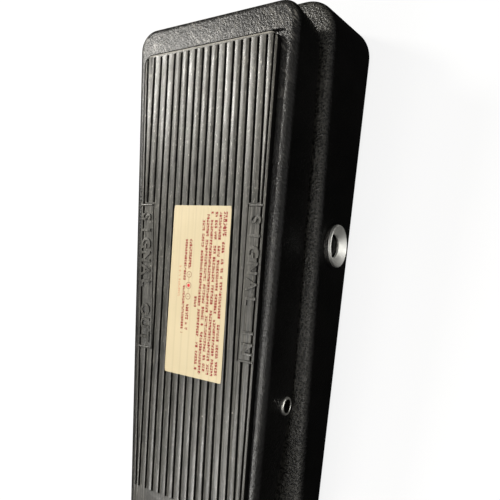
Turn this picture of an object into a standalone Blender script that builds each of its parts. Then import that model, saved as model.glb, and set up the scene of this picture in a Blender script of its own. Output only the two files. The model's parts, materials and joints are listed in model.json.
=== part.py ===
# Rocker foot pedal for an electric instrument: a cast base, a rocking treadle
# that drives a rack, pinion and potentiometer, a toe switch, jacks and battery.
# World axes: +X the player's right, +Y the toe end, +Z up, Z = 0 is the floor.
# Dimensions below are in millimetres; MM turns them into Blender's metres.
import math

import bmesh
import bpy
from mathutils import Matrix, Vector

MM = 0.001

# ---------------------------------------------------------------- dimensions
FOOT_H = 5.0                 # rubber feet under the base
BASE_TOE_Y = 129.3           # ends of the base casting
BASE_HEEL_Y = -129.3
BASE_HW_TOE = 51.2           # half widths at the bottom edge
BASE_HW_HEEL = 44.05
BASE_CORNER_R = 20.0         # plan radius at the bottom edge
BASE_TOP_R = 15.0            # plan radius at the height BASE_TOP_H
BASE_TOP_H = 40.0
SIDE_DRAFT = 0.07            # inward lean of the walls per unit of height
TOE_DRAFT = 0.165
HEEL_DRAFT = 0.12
BASE_WALL = 3.4
DECK_T = 3.5
DECK_EDGE_R = 3.0
DECK_SLOPE = 0.0962          # the deck rises towards the toe
DECK_Z0 = 39.5               # deck height at DECK_Y0
DECK_Y0 = 74.6
TILT = math.atan(DECK_SLOPE)

PIVOT_Y = -57.6              # treadle axis
PIVOT_Z = 34.2
ROCK_DEG = 12.0

# treadle, in its own frame: x, u along the treadle, v normal, origin on the axis
TR_TOE_U = 170.6
TR_HEEL_U = -67.9
TR_TOP_V = 17.6
TR_CORNER_R = 9.5
TR_EDGE_R = 3.4
TR_PLATE_T = 4.6
TR_WALL = 3.2
TR_TAPER = 0.0390
TR_HW0 = 42.57               # half width at u = 132.1
TR_RECESS = 1.5
SKIRT_V = -5.3               # lower edge of the skirt at the axis
SKIRT_FRONT_V = -2.6         # the same edge just behind the toe
TREADLE_TOE_DRAFT = 3.4
SKIRT_TOE_V = -0.7
SKIRT_TOE_U = 153.0
SKIRT_HEEL_V = 8.0

PAD_TOP_V = TR_TOP_V + 1.75
PAD_BOTTOM_V = TR_TOP_V - TR_RECESS + 0.3
PAD_TOE_U = 156.6
PAD_HEEL_U = -61.6
RIB_PITCH = 4.10
GROOVE_W = 1.0
GROOVE_D = 1.35
GROOVE_X0 = 30.2

SHAFT_R = 4.0
SHAFT_HALF = 38.6
BUSH_OR = 5.5
LUG_R = 8.5
LUG_IN = 19.5
LUG_OUT = 27.0

LINK_R = 44.0                # rack pin's distance from the treadle axis
LINK_DEG0 = 4.0              # its angle above the horizontal at rest
PIN_R = 1.5
MODULE = 0.7
TEETH = 18
PINION_Z = 19.5
PITCH_Y = -12.0              # rack's pitch line
PRESSURE = math.radians(20.0)

JACK_Y = 14.8
JACK_Z = 18.7
JACK_FACE_X = 47.8
DC_FACE_X = 48.5
JACK_BORE_R = 3.3
DC_Y = 48.0
DC_Z = 20.5

SEG = 28

# ---------------------------------------------------------------- scene set-up
for old in list(bpy.data.objects):
    bpy.data.objects.remove(old, do_unlink=True)

scene = bpy.context.scene
PART = bpy.data.collections.new("rocker_foot_pedal")
CUTTERS = bpy.data.collections.new("cutters")
scene.collection.children.link(PART)
scene.collection.children.link(CUTTERS)


def material(name, rgb, rough, metal):
    m = bpy.data.materials.new(name)
    m.use_nodes = True
    b = m.node_tree.nodes["Principled BSDF"]
    b.inputs["Base Color"].default_value = (rgb[0], rgb[1], rgb[2], 1.0)
    b.inputs["Roughness"].default_value = rough
    b.inputs["Metallic"].default_value = metal
    m.diffuse_color = (rgb[0], rgb[1], rgb[2], 1.0)
    return m


CAST = ((0.03, 0.03, 0.032), 0.5, 0.2)
RUBBER = ((0.06, 0.06, 0.055), 0.8, 0.0)
STEEL = ((0.55, 0.55, 0.56), 0.3, 1.0)
NICKEL = ((0.72, 0.72, 0.70), 0.25, 1.0)
BLACK_PLASTIC = ((0.02, 0.02, 0.02), 0.45, 0.0)
NYLON = ((0.82, 0.80, 0.74), 0.5, 0.0)
BRASS = ((0.70, 0.50, 0.20), 0.3, 1.0)


def new_object(name, mesh, look, frame=None, parent=None, smooth=True):
    o = bpy.data.objects.new(name, mesh)
    PART.objects.link(o)
    mesh.materials.clear()
    mesh.materials.append(material(name, *look))
    if smooth:
        mesh.shade_smooth()
        mesh.set_sharp_from_angle(angle=math.radians(35))
    if frame is not None:
        o.matrix_world = frame
    if parent is not None:
        o.parent = parent
        o.matrix_parent_inverse = Matrix.Identity(4)
    return o


def cutter(name, mesh, frame=None):
    o = bpy.data.objects.new(name, mesh)
    CUTTERS.objects.link(o)
    o.hide_render = True
    o.display_type = "WIRE"
    if frame is not None:
        o.matrix_world = frame
    return o


def boolean(target, other, operation):
    m = target.modifiers.new(operation.lower() + "_" + other.name, "BOOLEAN")
    m.operation = operation
    m.solver = "EXACT"
    m.object = other


def cut(target, mesh, name, frame=None):
    boolean(target, cutter(name, mesh, frame), "DIFFERENCE")


def join(target, mesh, name, frame=None):
    boolean(target, cutter(name, mesh, frame), "UNION")


# ---------------------------------------------------------------- shape makers
def box(x0, x1, y0, y1, z0, z1):
    bm = bmesh.new()
    size = Matrix.Diagonal(((x1 - x0) * MM, (y1 - y0) * MM, (z1 - z0) * MM, 1.0))
    mid = Matrix.Translation(((x0 + x1) / 2 * MM, (y0 + y1) / 2 * MM, (z0 + z1) / 2 * MM))
    bmesh.ops.create_cube(bm, size=1.0, matrix=mid @ size)
    return finish_mesh(bm)


def finish_mesh(bm):
    mesh = bpy.data.meshes.new("shape")
    bm.to_mesh(mesh)
    bm.free()
    return mesh


def cylinder(axis, centre, r1, length, r2=None, seg=SEG, turn=0.0):
    """A cylinder or cone from centre along axis, its first end at centre."""
    bm = bmesh.new()
    bmesh.ops.create_cone(bm, cap_ends=True, segments=seg, radius1=r1 * MM,
                          radius2=(r1 if r2 is None else r2) * MM, depth=length * MM,
                          matrix=Matrix.Translation((0, 0, length / 2 * MM)) @ Matrix.Rotation(turn, 4, "Z"))
    rot = Vector((0, 0, 1)).rotation_difference(Vector(axis)).to_matrix().to_4x4()
    bm.transform(Matrix.Translation(Vector(centre) * MM) @ rot)
    return finish_mesh(bm)


def outline_mesh(points, z0, z1):
    """A flat outline given thickness: a filled 2D curve turned into a mesh."""
    cu = bpy.data.curves.new("outline", "CURVE")
    cu.dimensions = "2D"
    cu.fill_mode = "BOTH"
    cu.extrude = (z1 - z0) / 2 * MM
    sp = cu.splines.new("POLY")
    sp.points.add(len(points) - 1)
    for p, q in zip(sp.points, points):
        p.co = (q[0] * MM, q[1] * MM, 0.0, 1.0)
    sp.use_cyclic_u = True
    tmp = bpy.data.objects.new("outline_tmp", cu)
    CUTTERS.objects.link(tmp)
    deps = bpy.context.evaluated_depsgraph_get()
    mesh = bpy.data.meshes.new_from_object(tmp.evaluated_get(deps))
    bpy.data.objects.remove(tmp, do_unlink=True)
    bpy.data.curves.remove(cu)
    bm = bmesh.new()
    bm.from_mesh(mesh)
    bmesh.ops.remove_doubles(bm, verts=bm.verts, dist=1e-6)
    bmesh.ops.recalc_face_normals(bm, faces=bm.faces)
    bm.transform(Matrix.Translation((0, 0, (z0 + z1) / 2 * MM)))
    bpy.data.meshes.remove(mesh)
    return finish_mesh(bm)


def round_corners(corners, radius, seg=7):
    """A convex polygon's outline (counter-clockwise) with every corner rounded."""
    out = []
    n = len(corners)
    for i in range(n):
        p = Vector(corners[i])
        a = (Vector(corners[i - 1]) - p).normalized()
        b = (Vector(corners[(i + 1) % n]) - p).normalized()
        half = a.angle(b) / 2
        reach = radius / math.tan(half)
        centre = p + (a + b).normalized() * (radius / math.sin(half))
        t0 = p + a * reach - centre
        t1 = p + b * reach - centre
        sweep = t0.angle_signed(t1)
        for k in range(seg + 1):
            c, s = math.cos(-sweep * k / seg), math.sin(-sweep * k / seg)
            out.append((centre.x + t0.x * c - t0.y * s, centre.y + t0.x * s + t0.y * c))
    return out


def loft(lower, upper, z0, z1):
    """Walls with draft between two outlines that have the same number of points."""
    bm = bmesh.new()
    lo = [bm.verts.new((x * MM, y * MM, z0 * MM)) for x, y in lower]
    up = [bm.verts.new((x * MM, y * MM, z1 * MM)) for x, y in upper]
    n = len(lo)
    for i in range(n):
        j = (i + 1) % n
        bm.faces.new((lo[i], lo[j], up[j], up[i]))
    bm.faces.new(list(reversed(lo)))
    bm.faces.new(up)
    bmesh.ops.recalc_face_normals(bm, faces=bm.faces)
    return finish_mesh(bm)


def turned(profile, axis, centre, seg=SEG):
    """A body of revolution from (radius, height) points that run down the outside
    and close on the axis or, for a ring, back up the bore."""
    ring = all(r > 1e-6 for r, h in profile)
    mesh = bpy.data.meshes.new("profile")
    bm = bmesh.new()
    vs = [bm.verts.new((r * MM, 0, h * MM)) for r, h in profile]
    for a, b in zip(vs, vs[1:]):
        bm.edges.new((a, b))
    if ring:
        bm.edges.new((vs[-1], vs[0]))
    bm.to_mesh(mesh)
    bm.free()
    tmp = bpy.data.objects.new("turned_tmp", mesh)
    CUTTERS.objects.link(tmp)
    sc = tmp.modifiers.new("turn", "SCREW")
    sc.axis = "Z"
    sc.steps = seg
    sc.render_steps = seg
    sc.use_merge_vertices = True
    sc.merge_threshold = 0.00001
    deps = bpy.context.evaluated_depsgraph_get()
    out = bpy.data.meshes.new_from_object(tmp.evaluated_get(deps))
    bpy.data.objects.remove(tmp, do_unlink=True)
    bm = bmesh.new()
    bm.from_mesh(out)
    bmesh.ops.remove_doubles(bm, verts=bm.verts, dist=1e-6)
    bmesh.ops.recalc_face_normals(bm, faces=bm.faces)
    rot = Vector((0, 0, 1)).rotation_difference(Vector(axis)).to_matrix().to_4x4()
    bm.transform(Matrix.Translation(Vector(centre) * MM) @ rot)
    bpy.data.meshes.remove(out)
    return finish_mesh(bm)


def moved(mesh, matrix):
    mesh.transform(matrix)
    return mesh


def shift(x, y, z):
    return Matrix.Translation((x * MM, y * MM, z * MM))


def wire(name, points, radius, rgb):
    """A lead: a smooth route through the given points, read off evenly."""
    pts = [Vector(p) for p in points]
    fine = []
    ext = [pts[0] * 2 - pts[1]] + pts + [pts[-1] * 2 - pts[-2]]
    for i in range(1, len(ext) - 2):
        p0, p1, p2, p3 = ext[i - 1:i + 3]
        for k in range(12):
            t = k / 12.0
            fine.append(0.5 * ((2 * p1) + (p2 - p0) * t + (2 * p0 - 5 * p1 + 4 * p2 - p3) * t * t
                               + (3 * p1 - p0 - 3 * p2 + p3) * t * t * t))
    fine.append(pts[-1])
    length = [0.0]
    for a, b in zip(fine, fine[1:]):
        length.append(length[-1] + (b - a).length)
    count = max(6, min(20, int(length[-1] / (radius * 5.0))))
    route = []
    for k in range(count + 1):
        want = length[-1] * k / count
        j = max(i for i in range(len(length)) if length[i] <= want + 1e-9)
        j = min(j, len(fine) - 2)
        f = (want - length[j]) / max(1e-9, length[j + 1] - length[j])
        route.append(fine[j].lerp(fine[j + 1], min(1.0, f)))
    cu = bpy.data.curves.new(name, "CURVE")
    cu.dimensions = "3D"
    cu.bevel_depth = radius * MM
    cu.bevel_resolution = 2
    cu.use_fill_caps = True
    sp = cu.splines.new("POLY")
    sp.points.add(len(route) - 1)
    for p, q in zip(sp.points, route):
        p.co = (q.x * MM, q.y * MM, q.z * MM, 1.0)
    cu.materials.append(material(name, rgb, 0.45, 0.0))
    o = bpy.data.objects.new(name, cu)
    PART.objects.link(o)
    return o


def base_quad(y_heel, y_toe, inset=0.0):
    k = (BASE_HW_TOE - BASE_HW_HEEL) / (BASE_TOE_Y - BASE_HEEL_Y)
    hw = lambda y: BASE_HW_HEEL + k * (y - BASE_HEEL_Y) - inset
    return [(-hw(y_heel), y_heel), (hw(y_heel), y_heel), (hw(y_toe), y_toe), (-hw(y_toe), y_toe)]


def base_outline(z, inset=0.0):
    """Plan outline of the base's outer wall at height z above its bottom edge."""
    r = BASE_CORNER_R + (BASE_TOP_R - BASE_CORNER_R) * z / BASE_TOP_H
    quad = base_quad(BASE_HEEL_Y + HEEL_DRAFT * z + inset, BASE_TOE_Y - TOE_DRAFT * z - inset,
                     SIDE_DRAFT * z + inset)
    return round_corners(quad, max(3.0, r - inset))


def deck_z(y):
    return DECK_Z0 + DECK_SLOPE * (y - DECK_Y0)


def tr_hw(u, inset=0.0):
    return TR_HW0 + TR_TAPER * (u - 132.1) - inset


def tr_outline(inset=0.0, radius=TR_CORNER_R, heel_extra=0.0, toe_extra=0.0):
    u0 = TR_HEEL_U + inset + heel_extra
    u1 = TR_TOE_U - inset - toe_extra
    quad = [(-tr_hw(u0, inset), u0), (tr_hw(u0, inset), u0), (tr_hw(u1, inset), u1), (-tr_hw(u1, inset), u1)]
    return round_corners(quad, radius)


# frames: WORLD for upright base parts, SLOPE for parts square to the deck
WORLD = Matrix.Identity(4)
SLOPE = shift(0, PIVOT_Y, PIVOT_Z) @ Matrix.Rotation(TILT, 4, "X")
DECK_V = (deck_z(PIVOT_Y) - PIVOT_Z) * math.cos(TILT)


def empty(name, frame, size=0.02):
    e = bpy.data.objects.new(name, None)
    e.empty_display_size = size
    PART.objects.link(e)
    e.matrix_world = frame
    return e


rock_axis = empty("treadle_axis", SLOPE)
pot_axis = empty("pot_axis", shift(0, PITCH_Y + MODULE * TEETH / 2, PINION_Z))
switch_axis = empty("switch_axis", SLOPE @ shift(0, 148.0, 0))


def on_rock(name, mesh, look, smooth=True):
    """A piece of the treadle: built about the treadle axis, carried by its empty."""
    return new_object(name, mesh, look, None, rock_axis, smooth)


# ---------------------------------------------------------------- base casting
def bevel_deck_edge(mesh, width, segments):
    """Rounds the edge where the walls meet the sloping deck."""
    bm = bmesh.new()
    bm.from_mesh(mesh)
    bm.faces.ensure_lookup_table()
    deck = max(bm.faces, key=lambda f: f.calc_area() if f.normal.z > 0.9 else 0.0)
    bmesh.ops.bevel(bm, geom=list(deck.edges), offset=width * MM, segments=segments,
                    profile=0.5, affect="EDGES", clamp_overlap=True)
    out = bpy.data.meshes.new("casting")
    bm.to_mesh(out)
    bm.free()
    return out


def wedge(inset, lower_z, drop, floor_cut=0.0):
    """The base's tapered block, cut off by a plane parallel to the deck."""
    lower = base_outline(lower_z, inset)
    upper = base_outline(60.0, inset)
    bm = bmesh.new()
    bm.from_mesh(loft(lower, upper, FOOT_H + lower_z, FOOT_H + 60.0))
    point = Vector((0, DECK_Y0, DECK_Z0 - drop)) * MM
    normal = Vector((0, -DECK_SLOPE, 1)).normalized()
    res = bmesh.ops.bisect_plane(bm, geom=bm.verts[:] + bm.edges[:] + bm.faces[:], plane_co=point,
                                 plane_no=normal, clear_outer=True)
    rim = [e for e in res["geom_cut"] if isinstance(e, bmesh.types.BMEdge)]
    bmesh.ops.contextual_create(bm, geom=rim)
    bmesh.ops.recalc_face_normals(bm, faces=bm.faces)
    return finish_mesh(bm)


base = new_object("base_casting", bevel_deck_edge(wedge(0.0, 0.0, 0.0), DECK_EDGE_R, 3), CAST)
cut(base, wedge(BASE_WALL, -1.0, DECK_T / math.cos(TILT)), "base_cavity")

# corner bosses that take the screws through the feet
FEET = [(-34.0, 104.0), (34.0, 104.0), (-31.0, -106.0), (31.0, -106.0)]
for i, (fx, fy) in enumerate(FEET):
    top = deck_z(fy) - 1.5
    join(base, cylinder((0, 0, 1), (fx, fy, FOOT_H + 2.1), 5.0, top - FOOT_H - 2.1, seg=16), "boss_%d" % i)
    cut(base, cylinder((0, 0, 1), (fx, fy, FOOT_H + 1.0), 1.6, 9.0, seg=12), "boss_hole_%d" % i)

# posts for the circuit board
for i, px in enumerate((-33.0, 33.0)):
    join(base, cylinder((0, 0, 1), (px, 67.0, 16.1), 3.0, deck_z(67.0) - 1.5 - 16.1, seg=12), "board_post_%d" % i)

# lugs that hold the treadle axis
for side in (-1, 1):
    x0, x1 = sorted((side * LUG_IN, side * LUG_OUT))
    lug = cylinder((1, 0, 0), (x0, 0, 0), LUG_R, x1 - x0, seg=24)
    join(base, lug, "lug_round_%d" % side, SLOPE)
    join(base, box(x0, x1, -LUG_R, LUG_R, DECK_V - 1.5, 0.0), "lug_foot_%d" % side, SLOPE)
    cut(base, cylinder((1, 0, 0), (x0 - 1, 0, 0), BUSH_OR + 0.1, x1 - x0 + 2, seg=24), "lug_bore_%d" % side, SLOPE)

# openings in the deck: rack slot and switch hole
cut(base, box(-5.0, 5.0, -19.0, -9.0, 20.0, 42.0), "rack_slot")
cut(base, cylinder((0, 0, 1), (0, 148.0, -20.0), 6.3, 30.0, seg=24), "switch_hole", SLOPE)
for i, cu_u in enumerate((-10.0, 10.0)):
    cut(base, cylinder((0, 0, 1), (0, cu_u, -14.0), 1.35, 10.0, seg=10), "clamp_hole_%d" % i, SLOPE)

# jack seats: flat round spots on the drafted walls, each with its hole
for side in (-1, 1):
    tag = "right" if side > 0 else "left"
    join(base, cylinder((side, 0, 0), (side * 42.5, JACK_Y, JACK_Z), 10.3, JACK_FACE_X - 42.5, seg=32),
         "jack_seat_" + tag)
    cut(base, box(min(side * 30.0, side * 43.6), max(side * 30.0, side * 43.6), JACK_Y - 10.6, JACK_Y + 10.6,
                  JACK_Z - 10.6, JACK_Z + 8.6), "jack_room_" + tag)
    cut(base, cylinder((side, 0, 0), (side * 40.0, JACK_Y, JACK_Z), 5.2, 12.0, seg=24), "jack_hole_" + tag)
    cut(base, cylinder((side, 0, 0), (side * 45.7, JACK_Y, JACK_Z), 7.6, 4.0, seg=32), "ring_seat_" + tag)
join(base, cylinder((-1, 0, 0), (-43.5, DC_Y, DC_Z), 7.8, DC_FACE_X - 43.5, seg=24), "dc_seat")
cut(base, cylinder((-1, 0, 0), (-40.0, DC_Y, DC_Z), 5.7, 12.0, seg=24), "dc_hole")
cut(base, box(-44.2, -30.0, DC_Y - 8.0, DC_Y + 8.0, DC_Z - 8.0, DC_Z + 8.0), "dc_room")

# ---------------------------------------------------------------- bottom plate, door, feet
PLATE_Z0 = FOOT_H + 0.3
PLATE_Z1 = FOOT_H + 1.8
DOOR = (-15.0, 41.0, 24.0, 54.5)
plate_mesh = outline_mesh(base_outline(1.0, BASE_WALL + 0.4), PLATE_Z0, PLATE_Z1)
plate = new_object("bottom_plate", plate_mesh, ((0.035, 0.035, 0.037), 0.45, 0.6))
cut(plate, box(DOOR[0], DOOR[1], DOOR[2], DOOR[3], 0, 12), "door_opening")
for i, (fx, fy) in enumerate(FEET):
    cut(plate, cylinder((0, 0, 1), (fx, fy, 0), 2.0, 12.0, seg=12), "plate_hole_%d" % i)

door = new_object("battery_door",
                  outline_mesh(round_corners([(DOOR[0] + 0.4, DOOR[2] + 0.4), (DOOR[1] - 0.4, DOOR[2] + 0.4),
                                              (DOOR[1] - 0.4, DOOR[3] - 0.4), (DOOR[0] + 0.4, DOOR[3] - 0.4)],
                                             0.8, 2), PLATE_Z0, PLATE_Z1),
                  BLACK_PLASTIC)
for i, ty in enumerate((31.0, 47.0)):
    join(door, box(DOOR[0] - 2.5, DOOR[0] + 2.0, ty - 2.5, ty + 2.5, PLATE_Z1 + 0.25, PLATE_Z1 + 1.2), "door_tab_%d" % i)
    join(door, box(DOOR[0] + 0.4, DOOR[0] + 2.0, ty - 2.5, ty + 2.5, PLATE_Z1 - 0.5, PLATE_Z1 + 1.2), "door_root_%d" % i)
cut(door, cylinder((0, 0, 1), (DOOR[1] - 6.0, 39.25, 0), 5.0, PLATE_Z0 + 0.7, seg=20), "door_thumb_hollow")

for i, (fx, fy) in enumerate(FEET):
    foot = turned([(0, FOOT_H), (8.0, FOOT_H), (8.0, 4.0), (7.2, 0.5), (6.7, 0.0), (3.6, 0.0), (3.6, 2.4), (0, 2.4)],
                  (0, 0, 1), (fx, fy, 0), 24)
    fo = new_object("foot_%d" % (i + 1), foot, RUBBER)
    cut(fo, cylinder((0, 0, 1), (fx, fy, -1.0), 1.7, 10.0, seg=12), "foot_hole_%d" % i)
    new_object("foot_screw_%d" % (i + 1),
               turned([(0, 11.0), (1.2, 11.0), (1.45, 10.6), (1.45, 2.1), (3.1, 2.1), (3.1, 1.4), (2.2, 0.6),
                       (0, 0.5)], (0, 0, 1), (fx, fy, 0), 16), STEEL)

# ---------------------------------------------------------------- treadle
tread_mesh = loft(tr_outline(-0.3, toe_extra=TREADLE_TOE_DRAFT), tr_outline(0.0), SKIRT_V, TR_TOP_V)
bmt = bmesh.new()
bmt.from_mesh(tread_mesh)
top_face = max(bmt.faces, key=lambda f: f.calc_center_median().z)
bmesh.ops.bevel(bmt, geom=list(top_face.edges), offset=TR_EDGE_R * MM, segments=4, profile=0.5,
                affect="EDGES", clamp_overlap=True)
tread_mesh = finish_mesh(bmt)
treadle = on_rock("treadle", tread_mesh, CAST)
cut(treadle, loft(tr_outline(TR_WALL - 0.3, 5.0, toe_extra=TREADLE_TOE_DRAFT), tr_outline(TR_WALL, 5.0), SKIRT_V - 3, TR_TOP_V - TR_PLATE_T),
    "treadle_cavity", SLOPE)

RECESS = 4.2
cut(treadle, outline_mesh(round_corners(
    [(-tr_hw(-63.0, RECESS), -63.0), (tr_hw(-63.0, RECESS), -63.0), (tr_hw(157.4, RECESS), 157.4),
     (-tr_hw(157.4, RECESS), 157.4)], 4.8, 5), TR_TOP_V - TR_RECESS, TR_TOP_V + 5), "pad_recess", SLOPE)


def side_cutter(points):
    """A cutter with its outline in the treadle's side view, right across it."""
    mesh = outline_mesh(points, -60.0, 60.0)
    turn = Matrix(((0, 0, 1, 0), (1, 0, 0, 0), (0, 1, 0, 0), (0, 0, 0, 1)))
    return moved(mesh, turn)


cut(treadle, side_cutter([(TR_HEEL_U - 6, SKIRT_HEEL_V + 1.25), (3.0, SKIRT_V + 0.02), (SKIRT_TOE_U, SKIRT_FRONT_V),
                          (SKIRT_TOE_U + 4.4, SKIRT_TOE_V), (TR_TOE_U + 8, SKIRT_TOE_V), (TR_TOE_U + 8, SKIRT_V - 6),
                          (TR_HEEL_U - 6, SKIRT_V - 6)]), "skirt_edge", SLOPE)
cut(treadle, cylinder((1, 0, 0), (-60, 0, 0), SHAFT_R + 0.1, 120, seg=SEG), "treadle_bore", SLOPE)
# stiffening ribs cast under the plate
for i, ru in enumerate((66.0, 108.0)):
    join(treadle, box(-tr_hw(ru, TR_WALL) - 1, tr_hw(ru, TR_WALL) + 1, ru - 1.1, ru + 1.1, TR_TOP_V - TR_PLATE_T - 4.0,
                      TR_TOP_V - TR_PLATE_T + 1), "treadle_rib_%d" % i, SLOPE)

# ---------------------------------------------------------------- tread pad
def pad_edge(side, u):
    """Pad edge beside the rim; the pad sits a little to the left in its recess."""
    if side > 0:
        return 34.95 + 0.0245 * (u - 141.0)
    return -(37.0 + 0.0330 * (u - 141.0))


def pad_quad(inset, u0, u1):
    return [(pad_edge(-1, u0) + inset, u0), (pad_edge(1, u0) - inset, u0),
            (pad_edge(1, u1) - inset, u1), (pad_edge(-1, u1) + inset, u1)]


pad = on_rock("tread_pad", outline_mesh(round_corners(pad_quad(0, PAD_HEEL_U, PAD_TOE_U), 4.2, 5),
                                        PAD_BOTTOM_V, PAD_TOP_V), RUBBER, smooth=False)

LIP = 1.25                   # border lip round the ribs
RIB_U0, RIB_U1 = -46.0, PAD_TOE_U - 1.6
RIGHT_PANEL = (19.9, 86.0)
LEFT_PANEL = (18.0, 86.3)


def panel_sides(side, u):
    """Inner and outer edge of the smooth name panels among the ribs."""
    if side > 0:
        t = (u - 19.9) / 66.1
        return 24.4 + 1.5 * t, 31.75 + 1.15 * t
    t = (u - 18.0) / 68.3
    return -(24.3 + 3.4 * t), -(32.0 + 3.5 * t)


def groove_spans(x):
    """Stretches of u where a straight groove at x runs: inside the tapered border,
    and broken by the name panels."""
    spans = []
    step = 0.5
    u = RIB_U0
    start = None
    while u <= RIB_U1 + 1e-6:
        ok = (pad_edge(-1, u) + 3.2 < x < pad_edge(1, u) - 2.4)
        for side, (p0, p1) in ((1, RIGHT_PANEL), (-1, LEFT_PANEL)):
            a, b = sorted(panel_sides(side, u))
            if p0 - 0.4 < u < p1 + 0.4 and a - 0.7 < x < b + 0.7:
                ok = False
        if ok and start is None:
            start = u
        if not ok and start is not None:
            spans.append((start, u))
            start = None
        u += step
    if start is not None:
        spans.append((start, RIB_U1))
    return [s for s in spans if s[1] - s[0] > 6.0]


def groove_bars():
    """All groove bars in one cutter mesh; they never touch each other."""
    bm = bmesh.new()
    gx = GROOVE_X0
    while gx > -38.0:
        for (a, b) in groove_spans(gx):
            size = Matrix.Diagonal((GROOVE_W * MM, (b - a) * MM, (GROOVE_D + 1.0) * MM, 1.0))
            mid = shift(gx, (a + b) / 2, PAD_TOP_V + (1.0 - GROOVE_D) / 2)
            bmesh.ops.create_cube(bm, size=1.0, matrix=mid @ size)
        gx -= RIB_PITCH
    # grooves that follow the tapered border
    for side in (-1, 1):
        lo = [(pad_edge(side, u) - side * LIP, u) for u in (RIB_U0, RIB_U1)]
        x_in = [p[0] - side * GROOVE_W * 0.85 for p in lo]
        quad = [(x_in[0], RIB_U0), (lo[0][0], RIB_U0), (lo[1][0], RIB_U1), (x_in[1], RIB_U1)]
        vs = []
        for z in (PAD_TOP_V - GROOVE_D, PAD_TOP_V + 1.0):
            vs.append([bm.verts.new((x * MM, y * MM, z * MM)) for x, y in quad])
        for i in range(4):
            j = (i + 1) % 4
            bm.faces.new((vs[0][i], vs[0][j], vs[1][j], vs[1][i]))
        bm.faces.new(list(reversed(vs[0])))
        bm.faces.new(vs[1])
    bmesh.ops.recalc_face_normals(bm, faces=bm.faces)
    return finish_mesh(bm)


cut(pad, groove_bars(), "pad_grooves", SLOPE)

LABEL_W, LABEL_L = 31.5, 75.6
label_frame = shift(1.16, 47.3, 0) @ Matrix.Rotation(math.radians(-0.67), 4, "Z")
label_mesh = outline_mesh(round_corners([(-LABEL_W / 2, -LABEL_L / 2), (LABEL_W / 2, -LABEL_L / 2),
                                         (LABEL_W / 2, LABEL_L / 2), (-LABEL_W / 2, LABEL_L / 2)], 0.8, 2),
                          PAD_TOP_V + 0.05, PAD_TOP_V + 0.25)
label = on_rock("label", moved(label_mesh, label_frame), ((0.86, 0.80, 0.66), 0.45, 0.0), smooth=False)

# ---------------------------------------------------------------- pivot
shaft_half = [(0, 0), (SHAFT_R, 0)]
shaft_profile = [(0, SHAFT_HALF - 4.0), (2.4, SHAFT_HALF - 4.0), (2.4, SHAFT_HALF), (3.6, SHAFT_HALF),
                 (SHAFT_R, SHAFT_HALF - 0.4), (SHAFT_R, -SHAFT_HALF + 0.4), (3.6, -SHAFT_HALF), (2.4, -SHAFT_HALF),
                 (2.4, -SHAFT_HALF + 4.0), (0, -SHAFT_HALF + 4.0)]
on_rock("pivot_shaft", turned(shaft_profile, (1, 0, 0), (0, 0, 0), SEG), STEEL)
for side, tag in ((-1, "left"), (1, "right")):
    bore = SHAFT_R + 0.07
    prof = [(7.2, 1.5), (7.2, 0.0), (BUSH_OR, 0.0), (BUSH_OR, -7.2), (bore, -7.2), (bore, 1.5)]
    new_object("pivot_bush_" + tag, turned(prof, (side, 0, 0), (side * (LUG_OUT + 0.2), 0, 0), SEG), NYLON, SLOPE)

block = new_object("friction_block", box(-7.5, 7.5, -13.0, 13.0, DECK_V + 0.25, -0.2), NYLON, SLOPE)
cut(block, cylinder((1, 0, 0), (-20, 0, 0), SHAFT_R + 0.05, 40, seg=SEG), "block_groove", SLOPE)
strap = new_object("friction_clamp", box(-6.0, 6.0, -12.5, 12.5, 0.1, 1.7), STEEL, SLOPE)
join(strap, cylinder((1, 0, 0), (-6.0, 0, 0), 6.1, 12.0, seg=24), "clamp_arch", SLOPE)
cut(strap, cylinder((1, 0, 0), (-20, 0, 0), SHAFT_R + 0.3, 40, seg=SEG), "clamp_bore", SLOPE)
cut(strap, box(-20, 20, -20, 20, -12, 0.1), "clamp_lower", SLOPE)
for i, cu_u in enumerate((-10.0, 10.0)):
    hole = cylinder((0, 0, 1), (0, cu_u, -16.0), 1.75, 30.0, seg=12)
    cut(block, hole, "block_hole_%d" % i, SLOPE)
    cut(strap, hole.copy(), "strap_hole_%d" % i, SLOPE)
    new_object("clamp_screw_%d" % (i + 1),
               turned([(0, 3.9), (1.8, 3.9), (2.7, 3.2), (2.7, 1.9), (1.25, 1.9), (1.25, -11.6), (0.8, -12.2),
                       (0, -12.2)], (0, 0, 1), (0, cu_u, 0), 16), STEEL, SLOPE)

# rubber stops on the deck and under the toe
for side, tag in ((-1, "left"), (1, "right")):
    new_object("heel_stop_" + tag, turned([(0, 0.9), (5.0, 0.9), (6.0, 0.1), (6.0, DECK_V + 0.25), (0, DECK_V + 0.25)],
                                          (0, 0, 1), (side * 17.0, -50.0, 0), 20), RUBBER, SLOPE)
    new_object("toe_stop_" + tag, turned([(0, 12.7), (4.2, 12.7), (5.0, 12.0), (6.0, DECK_V + 0.25),
                                          (0, DECK_V + 0.25)], (0, 0, 1), (side * 24.0, 148.0, 0), 20), RUBBER, SLOPE)

# ---------------------------------------------------------------- rack and pinion
def link_point(deg):
    a = math.radians(deg)
    return PIVOT_Y + LINK_R * math.cos(a), PIVOT_Z + LINK_R * math.sin(a)


pin_y0, pin_z0 = link_point(LINK_DEG0)
pin_y1, pin_z1 = link_point(LINK_DEG0 + ROCK_DEG)
PIN_U = LINK_R * math.cos(math.radians(LINK_DEG0) - TILT)
PIN_V = LINK_R * math.sin(math.radians(LINK_DEG0) - TILT)

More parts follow.
